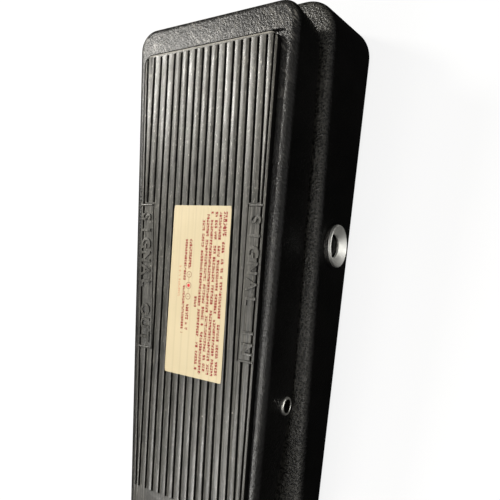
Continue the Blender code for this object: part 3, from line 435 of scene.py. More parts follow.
# ---------------------------------------------------------------- camera, light, floor
def set_camera():
    cam = bpy.data.cameras.new("camera")
    cam.sensor_width = 36.0
    cam.lens = 36.864
    cam.clip_start = 0.01
    cam.clip_end = 50.0
    o = bpy.data.objects.new("camera", cam)
    bpy.context.scene.collection.objects.link(o)
    right = Vector((0.8450, 0.1037, -0.5247)).normalized()
    fwd = Vector((-0.5322, 0.0811, -0.8421)).normalized()
    up = right.cross(fwd).normalized()
    right = fwd.cross(up).normalized()
    m = Matrix.Identity(4)
    for i in range(3):
        m[i][0], m[i][1], m[i][2] = right[i], up[i], -fwd[i]
    m.translation = Vector((139.8, -10.2, 237.7)) * MM
    o.matrix_world = m
    bpy.context.scene.camera = o
    return o


camera = set_camera()


def area(name, loc, target, size, power, color=(1, 1, 1), size_y=None):
    li = bpy.data.lights.new(name, "AREA")
    li.shape = "RECTANGLE" if size_y else "SQUARE"
    li.size = size
    if size_y:
        li.size_y = size_y
    li.energy = power
    li.color = color
    o = bpy.data.objects.new(name, li)
    bpy.context.scene.collection.objects.link(o)
    o.location = loc
    d = Vector(target) - Vector(loc)
    o.rotation_euler = d.to_track_quat("-Z", "Y").to_euler()
    o.visible_camera = False
    return o


def from_dir(d, dist, target=(0.0, 0.0, 0.05)):
    v = Vector(d).normalized() * dist
    return (target[0] + v.x, target[1] + v.y, target[2] + v.z)


AIM = (0.0, 0.02, 0.05)
area("key_left", from_dir((-0.71, 0.335, 0.72), 0.80, AIM), AIM, 0.15, 5.7, (1.0, 0.972, 0.915))
area("fill_heel", from_dir((-0.33, -0.58, 0.76), 1.00, AIM), AIM, 0.26, 5.0, (1.0, 0.98, 0.94))
area("fill_top", from_dir((0.02, -0.30, 1.0), 1.2, AIM), AIM, 0.60, 3.7, (1.0, 0.985, 0.95))
area("fill_right", from_dir((0.95, -0.02, 0.30), 1.3, AIM), AIM, 1.0, 1.5, (1.0, 0.99, 0.97))

reflector = area("metal_reflector", from_dir((0.85, 0.20, 0.20), 0.9, (0.05, 0.0, 0.02)), (0.05, 0.0, 0.02), 0.60, 5.5, (1.0, 0.995, 0.97))
METAL_ONLY = bpy.data.collections.new("metal_only")
reflector.light_linking.receiver_collection = METAL_ONLY

world = bpy.data.worlds.new("studio")
bpy.context.scene.world = world
world.use_nodes = True
wt = world.node_tree
bg = wt.nodes["Background"]
wc = wt.nodes.new("ShaderNodeTexCoord")
ws = wt.nodes.new("ShaderNodeSeparateXYZ")
wr = wt.nodes.new("ShaderNodeMapRange")
wr.inputs["From Min"].default_value = 0.0
wr.inputs["From Max"].default_value = 0.6
wr.inputs["To Min"].default_value = 0.010
wr.inputs["To Max"].default_value = 0.16
wt.links.new(wc.outputs["Generated"], ws.inputs[0])
wt.links.new(ws.outputs[2], wr.inputs["Value"])
bg.inputs[0].default_value = (1.0, 0.99, 0.97, 1.0)
wt.links.new(wr.outputs[0], bg.inputs[1])
white = wt.nodes.new("ShaderNodeBackground")
white.inputs[0].default_value = (1.0, 1.0, 1.0, 1.0)
white.inputs[1].default_value = 0.97
path = wt.nodes.new("ShaderNodeLightPath")
both = wt.nodes.new("ShaderNodeMixShader")
wt.links.new(path.outputs["Is Camera Ray"], both.inputs[0])
wt.links.new(bg.outputs[0], both.inputs[1])
wt.links.new(white.outputs[0], both.inputs[2])
wt.links.new(both.outputs[0], wt.nodes["World Output"].inputs[0])
bpy.context.scene.view_settings.view_transform = "Standard"
bpy.context.scene.view_settings.look = "None"


def make_floor():
    bm = bmesh.new()
    bmesh.ops.create_grid(bm, x_segments=1, y_segments=1, size=3.0)
    bm.transform(Matrix.Translation((0, 0, -0.0002)))
    me = to_mesh(bm)
    m = Mat("floor_white")
    n = m.noise(3.0, 2.0, 0.5)
    m.set(color=m.mix(m.ramp(n, 0.3, 0.7), (0.115, 0.115, 0.115), (0.13, 0.13, 0.13)), rough=0.8, spec=0.1)
    m.b.inputs["Emission Color"].default_value = (1.0, 1.0, 1.0, 1.0)
    m.b.inputs["Emission Strength"].default_value = 0.875
    o = bpy.data.objects.new("floor", me)
    bpy.context.scene.collection.objects.link(o)
    me.materials.append(m.m)
    o.visible_glossy = False
    o.visible_diffuse = False


make_floor()

# ---------------------------------------------------------------- materials
M_BASE = cast_material("base_wrinkle_black", (0.0045, 0.0043, 0.0040), (0.0100, 0.0095, 0.0088), grain=1.0, rough=0.37, dust_and_top_light=0.75)
M_TREADLE = cast_material("treadle_wrinkle_black", (0.0055, 0.0053, 0.0050), (0.0130, 0.0125, 0.0115), grain=0.7,
                          scratches=0.52, rough=0.385, toe_y=(PIVOT_Y + 157.0) * MM)
M_RUBBER = rubber_material("black_rubber", (0.012, 0.012, 0.012), (0.028, 0.028, 0.027))
M_STEEL = metal_material("zinc_steel", (0.56, 0.56, 0.57), 0.30)
M_NICKEL = metal_material("satin_nickel", (0.78, 0.78, 0.76), 0.24, tarnish=0.4)
M_RING = metal_material("brushed_nickel_ring", (0.80, 0.795, 0.76), 0.56, streak=(0.25, 0.25, 0.25), tarnish=0.7)
M_BRASS = metal_material("cut_brass", (0.72, 0.50, 0.20), 0.28)
M_PLASTIC = plastic_material("black_moulding", (0.012, 0.012, 0.012), (0.022, 0.022, 0.022))
M_NYLON = plastic_material("natural_nylon", (0.70, 0.68, 0.60), (0.78, 0.76, 0.70), 0.5)
M_PLATE = cast_material("bottom_plate_paint", (0.012, 0.012, 0.0125), (0.020, 0.020, 0.021), grain=0.35, rough=0.38)
M_BATTERY = metal_material("battery_can", (0.25, 0.28, 0.33), 0.35)
M_BOARD = plastic_material("board_mask", (0.02, 0.14, 0.06), (0.03, 0.20, 0.09), 0.35)
M_RED = plastic_material("red_moulding", (0.36, 0.05, 0.02), (0.46, 0.08, 0.04), 0.35)
M_BLUE = plastic_material("blue_sleeve", (0.03, 0.06, 0.18), (0.04, 0.09, 0.26), 0.3)
M_AMBER = plastic_material("amber_dip", (0.48, 0.27, 0.04), (0.60, 0.36, 0.06), 0.3)

# ---------------------------------------------------------------- base casting
def base_quad(y_heel, y_toe, inset=0.0):
    k = (BASE_HW_TOE - BASE_HW_HEEL) / (BASE_TOE_Y - BASE_HEEL_Y)
    hw = lambda y: BASE_HW_HEEL + k * (y - BASE_HEEL_Y) - inset
    return [(-hw(y_heel), y_heel), (hw(y_heel), y_heel), (hw(y_toe), y_toe), (-hw(y_toe), y_toe)]


def base_outline(z, inset=0.0, seg=18):
    r = BASE_CORNER_R + (BASE_TOP_R - BASE_CORNER_R) * z / BASE_TOP_H
    quad = base_quad(BASE_HEEL_Y + HEEL_DRAFT * z + inset, BASE_TOE_Y - TOE_DRAFT * z - inset, SIDE_DRAFT * z + inset)
    return round_corners(quad, max(3.0, r - inset), seg)


def wedge(inset, lower_z, drop, seg):
    bm = bmesh.new()
    bm.from_mesh(loft(base_outline(lower_z, inset, seg), base_outline(60.0, inset, seg), FOOT_H + lower_z, FOOT_H + 60.0))
    normal = Vector((0, -DECK_SLOPE, 1)).normalized()
    res = bmesh.ops.bisect_plane(bm, geom=bm.verts[:] + bm.edges[:] + bm.faces[:],
                                 plane_co=Vector((0, DECK_Y0, DECK_Z0 - drop)) * MM, plane_no=normal, clear_outer=True)
    bmesh.ops.contextual_create(bm, geom=[e for e in res["geom_cut"] if isinstance(e, bmesh.types.BMEdge)])
    bmesh.ops.recalc_face_normals(bm, faces=bm.faces)
    return to_mesh(bm)


def make_base():
    outer = wedge(0.0, 0.0, 0.0, 20)
    bm = bmesh.new()
    bm.from_mesh(outer)
    deck = max(bm.faces, key=lambda f: f.calc_area() if f.normal.z > 0.9 else 0.0)
    bmesh.ops.bevel(bm, geom=list(deck.edges), offset=DECK_EDGE_R * MM, segments=8, profile=0.5, affect="EDGES",
                    clamp_overlap=True)
    w = Work(to_mesh(bm))
    w.cut(wedge(BASE_WALL, -1.0, DECK_T / math.cos(TILT), 10))
    for fx, fy in FEET:
        w.join(cylinder((0, 0, 1), (fx, fy, FOOT_H + 2.1), 5.0, deck_z(fy) - 3.6 - FOOT_H, seg=32))
        w.cut(cylinder((0, 0, 1), (fx, fy, FOOT_H + 1.0), 1.6, 9.0, seg=24))
    for px in (-33.0, 33.0):
        w.join(cylinder((0, 0, 1), (px, 67.0, 16.1), 3.0, deck_z(67.0) - 17.6, seg=24))
    for side in (-1, 1):
        x0, x1 = sorted((side * LUG_IN, side * LUG_OUT))
        w.join(cylinder((1, 0, 0), (x0, 0, 0), LUG_R, x1 - x0, seg=48), SLOPE)
        w.join(box(x0, x1, -LUG_R, LUG_R, DECK_V - 1.5, 0.0), SLOPE)
        w.cut(cylinder((1, 0, 0), (x0 - 1, 0, 0), BUSH_OR + 0.1, x1 - x0 + 2, seg=48), SLOPE)
    w.cut(box(-5.0, 5.0, -19.0, -9.0, 20.0, 42.0))
    w.cut(cylinder((0, 0, 1), (0, 148.0, -20.0), 6.3, 30.0, seg=48), SLOPE)
    for cu in (-10.0, 10.0):
        w.cut(cylinder((0, 0, 1), (0, cu, -14.0), 1.35, 10.0, seg=20), SLOPE)
    for side in (-1, 1):
        w.join(cylinder((side, 0, 0), (side * 42.5, JACK_Y, JACK_Z), 10.3, JACK_FACE_X - 42.5, seg=72))
        w.cut(box(min(side * 30.0, side * 43.6), max(side * 30.0, side * 43.6), JACK_Y - 10.6, JACK_Y + 10.6,
                  JACK_Z - 10.6, JACK_Z + 8.6))
        w.cut(cylinder((side, 0, 0), (side * 40.0, JACK_Y, JACK_Z), 5.2, 12.0, seg=48))
        w.cut(cylinder((side, 0, 0), (side * 45.7, JACK_Y, JACK_Z), 7.6, 4.0, seg=72))
    w.join(cylinder((-1, 0, 0), (-43.5, DC_Y, DC_Z), 7.8, DC_FACE_X - 43.5, seg=64))
    w.cut(cylinder((-1, 0, 0), (-40.0, DC_Y, DC_Z), 5.7, 12.0, seg=48))
    w.cut(box(-44.2, -30.0, DC_Y - 8.0, DC_Y + 8.0, DC_Z - 8.0, DC_Z + 8.0))
    return w.done()


base = piece("base_shell", make_base(), M_BASE, "base", ("base_casting",), angle=28)


# ---------------------------------------------------------------- treadle
def tr_hw(u, inset=0.0):
    return TR_HW0 + TR_TAPER * (u - 132.1) - inset


def tr_outline(inset=0.0, radius=TR_CORNER_R, seg=16, toe_extra=0.0):
    u0, u1 = TR_HEEL_U + inset, TR_TOE_U - inset - toe_extra
    return round_corners([(-tr_hw(u0, inset), u0), (tr_hw(u0, inset), u0), (tr_hw(u1, inset), u1),
                          (-tr_hw(u1, inset), u1)], radius, seg)


SIDE = Matrix(((0, 0, 1, 0), (1, 0, 0, 0), (0, 1, 0, 0), (0, 0, 0, 1)))


def side_cutter(points):
    me = loft(points, points, -60.0, 60.0)
    me.transform(SIDE)
    return me


def make_treadle():
    bm = bmesh.new()
    bm.from_mesh(loft(tr_outline(-0.3, toe_extra=TREADLE_TOE_DRAFT), tr_outline(0.0), SKIRT_V, TR_TOP_V))
    top = max(bm.faces, key=lambda f: f.calc_center_median().z)
    bmesh.ops.bevel(bm, geom=list(top.edges), offset=TR_EDGE_R * MM, segments=9, profile=0.5, affect="EDGES",
                    clamp_overlap=True)
    w = Work(to_mesh(bm), SLOPE)
    w.cut(loft(tr_outline(TR_WALL - 0.3, 5.0, 8, TREADLE_TOE_DRAFT), tr_outline(TR_WALL, 5.0, 8), SKIRT_V - 3, UNDER), SLOPE)
    rec = RECESS
    quad = [(-tr_hw(-63.0, rec), -63.0), (tr_hw(-63.0, rec), -63.0), (tr_hw(157.4, rec), 157.4),
            (-tr_hw(157.4, rec), 157.4)]
    lower = round_corners(quad, 4.8, 12)
    w.cut(loft(lower, lower, TR_TOP_V - TR_RECESS, TR_TOP_V + 5), SLOPE)
    # the recess's mouth is eased
    q0 = round_corners(quad, 4.8, 12)
    w.cut(loft(q0, [(x * 1.0 + math.copysign(0.35, x), u + math.copysign(0.35, u - 47.0)) for x, u in q0],
               TR_TOP_V - 0.34, TR_TOP_V + 0.06), SLOPE)
    # skirt: stepped up at the toe, sloped up behind the axis
    w.cut(side_cutter([(TR_HEEL_U - 6, SKIRT_HEEL_V + 1.25), (3.0, SKIRT_V + 0.02), (SKIRT_TOE_U, SKIRT_FRONT_V),
                       (SKIRT_TOE_U + 3.6, SKIRT_TOE_V - 0.25), (SKIRT_TOE_U + 4.8, SKIRT_TOE_V),
                       (TR_TOE_U + 8, SKIRT_TOE_V), (TR_TOE_U + 8, SKIRT_V - 6), (TR_HEEL_U - 6, SKIRT_V - 6)]), SLOPE)
    w.cut(cylinder((1, 0, 0), (-60, 0, 0), SHAFT_R + 0.1, 120, seg=64), SLOPE)
    for ru in (66.0, 108.0):
        w.join(box(-tr_hw(ru, TR_WALL) - 1, tr_hw(ru, TR_WALL) + 1, ru - 1.1, ru + 1.1, UNDER - 4.0, UNDER + 1), SLOPE)
    return w.done()


treadle = piece("treadle_shell", make_treadle(), M_TREADLE, "treadle_body", ("treadle",), angle=28)


# ---------------------------------------------------------------- ribbed pad
def pad_edge(side, u):
    if side > 0:
        return 34.95 + 0.0245 * (u - 141.0)
    return -(37.0 + 0.0330 * (u - 141.0))


def pad_quad(inset, u0, u1):
    return [(pad_edge(-1, u0) + inset, u0), (pad_edge(1, u0) - inset, u0), (pad_edge(1, u1) - inset, u1),
            (pad_edge(-1, u1) + inset, u1)]


LIP = 1.25
RIB_U0, RIB_U1 = -46.0, PAD_TOE_U - 1.6
RIGHT_PANEL, LEFT_PANEL = (19.9, 86.0), (18.0, 86.3)


def panel_sides(side, u):
    if side > 0:
        t = (u - 19.9) / 66.1
        return 24.4 + 1.5 * t, 31.75 + 1.15 * t
    t = (u - 18.0) / 68.3
    return -(24.3 + 3.4 * t), -(32.0 + 3.5 * t)


def groove_spans(x):
    spans, start, u = [], None, RIB_U0
    while u <= RIB_U1 + 1e-6:
        ok = pad_edge(-1, u) + 3.3 < x < pad_edge(1, u) - 3.1
        for side, (p0, p1) in ((1, RIGHT_PANEL), (-1, LEFT_PANEL)):
            a, b = sorted(panel_sides(side, u))
            if p0 - 0.4 < u < p1 + 0.4 and a - 0.7 < x < b + 0.7:
                ok = False
        if ok and start is None:
            start = u
        if not ok and start is not None:
            spans.append((start, u))
            start = None
        u += 0.5
    if start is not None:
        spans.append((start, RIB_U1))
    return [s for s in spans if s[1] - s[0] > 6.0]


def groove_bar(bm, x0, u0, x1, u1, width, depth):
    """One groove cutter between two points: a U-shaped section with a round floor and flared mouth."""
    half = width / 2
    r = min(0.3, half * 0.6)
    prof = [(-half - 0.22, 1.0), (-half - 0.22, 0.0), (-half - 0.06, -0.10), (-half, -0.28), (-half + 0.03, -depth + r),
            (-half + r, -depth), (half - r, -depth), (half - 0.03, -depth + r), (half, -0.28), (half + 0.06, -0.10),
            (half + 0.22, 0.0), (half + 0.22, 1.0)]
    d = Vector((x1 - x0, u1 - u0)).normalized()
    n = Vector((d.y, -d.x))
    rows = []
    for (cx, cu, sh) in ((x0, u0, 1), (x1, u1, -1)):
        row = []
        for a, h in prof:
            # the groove's ends lean out towards its mouth
            ease = 0.35 * (h + depth) / depth if h <= 0 else 0.35 + 0.35 * h
            row.append(bm.verts.new(((cx + n.x * a - sh * d.x * ease) * MM, (cu + n.y * a - sh * d.y * ease) * MM,
                                     (PAD_TOP_V + h) * MM)))
        rows.append(row)
    m = len(prof)
    for i in range(m):
        j = (i + 1) % m
        bm.faces.new((rows[0][i], rows[0][j], rows[1][j], rows[1][i]))
    bm.faces.new(list(reversed(rows[0])))
    bm.faces.new(rows[1])


def make_pad():
    outline = round_corners(pad_quad(0, PAD_HEEL_U, PAD_TOE_U), 4.2, 12)
    inner = round_corners(pad_quad(0.45, PAD_HEEL_U + 0.45, PAD_TOE_U - 0.45), 3.8, 12)
    mid = round_corners(pad_quad(0.13, PAD_HEEL_U + 0.13, PAD_TOE_U - 0.13), 4.1, 12)
    bm = bmesh.new()
    levels = [(outline, PAD_BOTTOM_V), (outline, PAD_TOP_V - 0.45), (mid, PAD_TOP_V - 0.13), (inner, PAD_TOP_V)]
    rings = [[bm.verts.new((x * MM, y * MM, z * MM)) for x, y in pts] for pts, z in levels]
    n = len(outline)
    for a, b in zip(rings, rings[1:]):
        for i in range(n):
            j = (i + 1) % n
            bm.faces.new((a[i], a[j], b[j], b[i]))
    bm.faces.new(list(reversed(rings[0])))
    bm.faces.new(rings[-1])
    bmesh.ops.recalc_face_normals(bm, faces=bm.faces)
    w = Work(to_mesh(bm), SLOPE)
    cb = bmesh.new()
    gx = GROOVE_X0
    while gx > -38.0:
        for a, b in groove_spans(gx):
            groove_bar(cb, gx, a, gx, b, GROOVE_W, GROOVE_D)
        gx -= RIB_PITCH
    bmesh.ops.recalc_face_normals(cb, faces=cb.faces)
    w.cut(to_mesh(cb), SLOPE)
    cb = bmesh.new()
    for side in (-1, 1):
        e0 = pad_edge(side, RIB_U0) - side * (LIP + 0.42)
        e1 = pad_edge(side, RIB_U1) - side * (LIP + 0.42)
        groove_bar(cb, e0, RIB_U0, e1, RIB_U1, 0.8, GROOVE_D)
    bmesh.ops.recalc_face_normals(cb, faces=cb.faces)
    w.cut(to_mesh(cb), SLOPE)
    cb = bmesh.new()
    for side, (p0, p1) in ((1, RIGHT_PANEL), (-1, LEFT_PANEL)):
        a0, a1 = panel_sides(side, p0)[0], panel_sides(side, p1)[0]
        groove_bar(cb, a0 - side * 0.45, p0 + 0.6, a1 - side * 0.45, p1 - 0.6, 0.36, 0.7)
    bmesh.ops.recalc_face_normals(cb, faces=cb.faces)
    w.cut(to_mesh(cb), SLOPE)
    return w.done()


def pad_material():
    """Ribbed rubber: the grooves painted near black as painted shade, the rib tops polished and worn to a dull olive
    grey.
    """
    m = Mat("ribbed_rubber")
    # coordinates along the treadle: x across, y along, z up from the treadle's own plane
    local = m.new("ShaderNodeVectorRotate", rotation_type="X_AXIS")
    local.inputs["Center"].default_value = (0.0, PIVOT_Y * MM, PIVOT_Z * MM)
    local.inputs["Angle"].default_value = -TILT
    m.link(m.tc.outputs["Object"], local.inputs["Vector"])
    vec = local.outputs[0]
    xs, ys, zs = m.sep(vec)[0], m.sep(vec)[1], m.sep(vec)[2]
    top = m.ramp(zs, (PIVOT_Z + PAD_TOP_V - 0.5) * MM, (PIVOT_Z + PAD_TOP_V - 0.04) * MM, mode="SMOOTHSTEP")
    mp = m.new("ShaderNodeMapping")
    m.link(vec, mp.inputs["Vector"])
    mp.inputs["Scale"].default_value = (2600.0, 60.0, 900.0)
    streak = m.noise(1.0, 4.0, 0.6, vec=mp.outputs[0])
    mp2 = m.new("ShaderNodeMapping")
    m.link(vec, mp2.inputs["Vector"])
    mp2.inputs["Scale"].default_value = (180.0, 40.0, 40.0)
    blot = m.noise(1.0, 5.0, 0.6, vec=mp2.outputs[0])
    wide = m.noise(18.0, 3.0, 0.55)
    grain = m.noise(2200.0, 3.0, 0.6)
    # worn more towards the toe, and painted lighter there as a painted highlight
    toe = m.ramp(ys, -0.08, 0.10, 0.0, 1.0)
    mp3 = m.new("ShaderNodeMapping")
    m.link(vec, mp3.inputs["Vector"])
    mp3.inputs["Scale"].default_value = (620.0, 150.0, 150.0)
    scuff = m.noise(1.0, 4.0, 0.65, vec=mp3.outputs[0])
    worn = m.mix(m.ramp(blot, 0.32, 0.68), (0.030, 0.029, 0.026), (0.082, 0.078, 0.067))
    worn = m.mix(m.math("MULTIPLY", m.ramp(scuff, 0.50, 0.74), 0.7), worn, (0.200, 0.192, 0.168))
    fresh = m.mix(m.ramp(wide, 0.35, 0.65), (0.015, 0.0148, 0.0138), (0.036, 0.035, 0.0315))
    tone = m.mix(m.math("ADD", m.math("MULTIPLY", toe, 0.75), m.math("MULTIPLY", m.ramp(wide, 0.3, 0.7), 0.25)), fresh, worn)
    tone = m.mix(m.math("MULTIPLY", m.ramp(streak, 0.46, 0.72), 0.55), tone, (0.160, 0.154, 0.134))
    mp4 = m.new("ShaderNodeMapping")
    m.link(vec, mp4.inputs["Vector"])
    mp4.inputs["Scale"].default_value = (1700.0, 420.0, 300.0)
    fleck = m.ramp(m.noise(1.0, 3.0, 0.6, vec=mp4.outputs[0]), 0.585, 0.66)
    fleck = m.math("MULTIPLY", fleck, m.ramp(m.noise(70.0, 3.0, 0.6), 0.40, 0.62, 0.15, 1.0))
    fleck = m.math("MULTIPLY", fleck, m.ramp(ys, -0.02, 0.07, 0.30, 1.0))
    tone = m.mix(m.math("MULTIPLY", fleck, 0.75), tone, (0.40, 0.385, 0.335))
    # painted highlight: each rib's two edges are painted paler than its middle
    phase = m.math("FRACT", m.math("ADD", m.math("MULTIPLY", m.math("SUBTRACT", xs, GROOVE_X0 * MM), 1.0 / (RIB_PITCH * MM)), 0.5))
    off = m.math("MULTIPLY", m.math("ABSOLUTE", m.math("SUBTRACT", phase, 0.5)), RIB_PITCH)
    edge = m.math("MULTIPLY", m.ramp(off, 0.60, 0.74), m.ramp(off, 1.25, 0.88))
    edge = m.math("MULTIPLY", edge, m.ramp(m.noise(150.0, 4.0, 0.65), 0.40, 0.62))
    tone = m.mix(m.math("MULTIPLY", edge, 0.5), tone, (0.20, 0.192, 0.170))
    # dust and lint caught on the ribs
    cells = m.voronoi(260.0, "F1", vec=vec)
    pick = m.voronoi(260.0, "F1", vec=vec, out="Color")
    sel = m.ramp(m.sep(pick)[0], 0.93, 0.94)
    speck = m.math("MULTIPLY", m.ramp(cells, 0.13, 0.05), sel)
    tone = m.mix(m.math("MULTIPLY", speck, 0.7), tone, (0.45, 0.43, 0.38))
    # the lip at the toe end is painted palest: partly rubbed wear, partly a painted highlight along its edge
    lip = m.ramp(ys, (PIVOT_Y + PAD_TOE_U - 1.0) * MM, (PIVOT_Y + PAD_TOE_U - 0.5) * MM)
    tone = m.mix(m.math("MULTIPLY", lip, m.ramp(blot, 0.25, 0.6, 0.35, 0.85)), tone, (0.42, 0.40, 0.35))
    # painted shade: the grooves get a near-black colour, darker than the unworn rubber
    groove_painted_shade = (0.0035, 0.0033, 0.0030)
    tone = m.mix(top, groove_painted_shade, tone)
    rough = m.ramp(m.math("ADD", m.math("MULTIPLY", scuff, 0.5), m.math("MULTIPLY", blot, 0.5)), 0.36, 0.64, 0.27, 0.50)
    return m.set(color=tone, rough=rough, spec=0.5,
                 normal=m.bump(m.math("ADD", m.math("MULTIPLY", grain, 0.6), m.math("MULTIPLY", streak, 0.6)), 0.22, 0.00012))


M_PAD = pad_material()
pad = piece("ribbed_pad", make_pad(), M_PAD, "treadle_body", ("tread_pad",), angle=40)


def make_letters(name, word, side, span):
    """Raised block letters down a name panel, each on its own."""
    u_top, u_low = span[1] - 3.4, span[0] + 2.6
    bm = bmesh.new()
    n = len(word)
    for i, ch in enumerate(word):
        if ch == " ":
            continue
        u = u_top + (u_low - u_top) * (i + 0.5) / n
        a, b = panel_sides(side, u)
        cu = bpy.data.curves.new("letter", "FONT")
        cu.body = ch
        cu.size = 7.2 * MM
        cu.align_x = "CENTER"
        cu.align_y = "CENTER"
        cu.extrude = 0.42 * MM
        cu.bevel_depth = 0.11 * MM
        cu.bevel_resolution = 2
        cu.resolution_u = 6
        cu.offset = 0.12 * MM
        t = bpy.data.objects.new("letter", cu)
        shop.objects.link(t)
        dg = bpy.context.evaluated_depsgraph_get()
        me = bpy.data.meshes.new_from_object(t.evaluated_get(dg))
        bpy.data.objects.remove(t, do_unlink=True)
        me.transform(SLOPE @ shift((a + b) / 2, u, PAD_TOP_V + 0.10) @ Matrix.Rotation(-math.pi / 2, 4, "Z"))
        bm.from_mesh(me)
        bpy.data.meshes.remove(me)
    bmesh.ops.remove_doubles(bm, verts=bm.verts, dist=1e-6)
    return piece(name, to_mesh(bm), M_PAD, "treadle_body", angle=50)


make_letters("panel_letters_right", "SIGNAL IN", 1, RIGHT_PANEL)
make_letters("panel_letters_left", "SIGNAL OUT", -1, LEFT_PANEL)


def make_bar(name, side, u):
    a, b = sorted(panel_sides(side, u))
    bm = bmesh.new()
    rows = []
    prof = [(-0.55, -0.4), (-0.5, 0.22), (-0.25, 0.42), (0.25, 0.42), (0.5, 0.22), (0.55, -0.4)]
    for x in (a + 0.2, b - 0.2):
        rows.append([bm.verts.new((x * MM, (u + p) * MM, (PAD_TOP_V + h) * MM)) for p, h in prof])
    for i in range(len(prof)):
        j = (i + 1) % len(prof)
        bm.faces.new((rows[0][i], rows[0][j], rows[1][j], rows[1][i]))
    bm.faces.new(rows[0])
    bm.faces.new(list(reversed(rows[1])))
    bmesh.ops.recalc_face_normals(bm, faces=bm.faces)
    bm.transform(SLOPE)
    return piece(name, to_mesh(bm), M_PAD, "treadle_body", angle=60)


for side, span, tag in ((1, RIGHT_PANEL, "right"), (-1, LEFT_PANEL, "left")):
    make_bar("panel_bar_toe_" + tag, side, span[1] - 0.8)
    make_bar("panel_bar_heel_" + tag, side, span[0] + 0.8)

# ---------------------------------------------------------------- sticker
LABEL_W, LABEL_L = 31.5, 75.6
LABEL_FRAME = shift(1.16, 47.3, 0) @ Matrix.Rotation(math.radians(-0.67), 4, "Z")


def make_label():
    """A thin film that dips a little into each groove it bridges."""
    nx, ny = 96, 40
    bm = bmesh.new()
    r = 0.8
    pts_top = []

    def dip(x, y):
        p = LABEL_FRAME @ Vector((x * MM, y * MM, 0))
        gx = p.x / MM
        k = (gx - GROOVE_X0) / RIB_PITCH
        d = abs(k - round(k)) * RIB_PITCH
        sag = 0.055 * math.exp(-(d / 0.55) ** 2)
        lift = 0.03 * noise.noise(Vector((x * 0.12, y * 0.07, 3.1)))
        return -sag + lift

    def column(x, y, z):
        return (x * MM, y * MM, z * MM)

    grid_t, grid_b = [], []
    for j in range(ny + 1):
        row_t, row_b = [], []
        for i in range(nx + 1):
            x = -LABEL_W / 2 + LABEL_W * i / nx
            y = -LABEL_L / 2 + LABEL_L * j / ny
            # round the four corners by pulling the outline in
            cx, cy = LABEL_W / 2 - r, LABEL_L / 2 - r
            if abs(x) > cx and abs(y) > cy:
                v = Vector((abs(x) - cx, abs(y) - cy))
                if v.length > r:
                    v = v.normalized() * r
                x, y = math.copysign(cx + v.x, x), math.copysign(cy + v.y, y)
            d = dip(x, y)
            row_t.append(bm.verts.new(column(x, y, PAD_TOP_V + 0.24 + d)))
            row_b.append(bm.verts.new(column(x, y, PAD_TOP_V + 0.08 + d)))
        grid_t.append(row_t)
        grid_b.append(row_b)
    for j in range(ny):
        for i in range(nx):
            bm.faces.new((grid_t[j][i], grid_t[j][i + 1], grid_t[j + 1][i + 1], grid_t[j + 1][i]))
            bm.faces.new((grid_b[j][i], grid_b[j + 1][i], grid_b[j + 1][i + 1], grid_b[j][i + 1]))
    for j in range(ny):
        bm.faces.new((grid_t[j][0], grid_t[j + 1][0], grid_b[j + 1][0], grid_b[j][0]))
        bm.faces.new((grid_t[j][nx], grid_b[j][nx], grid_b[j + 1][nx], grid_t[j + 1][nx]))
    for i in range(nx):
        bm.faces.new((grid_t[0][i], grid_b[0][i], grid_b[0][i + 1], grid_t[0][i + 1]))
        bm.faces.new((grid_t[ny][i], grid_t[ny][i + 1], grid_b[ny][i + 1], grid_b[ny][i]))
    bmesh.ops.recalc_face_normals(bm, faces=bm.faces)
    bm.transform(SLOPE @ LABEL_FRAME)
    return to_mesh(bm)


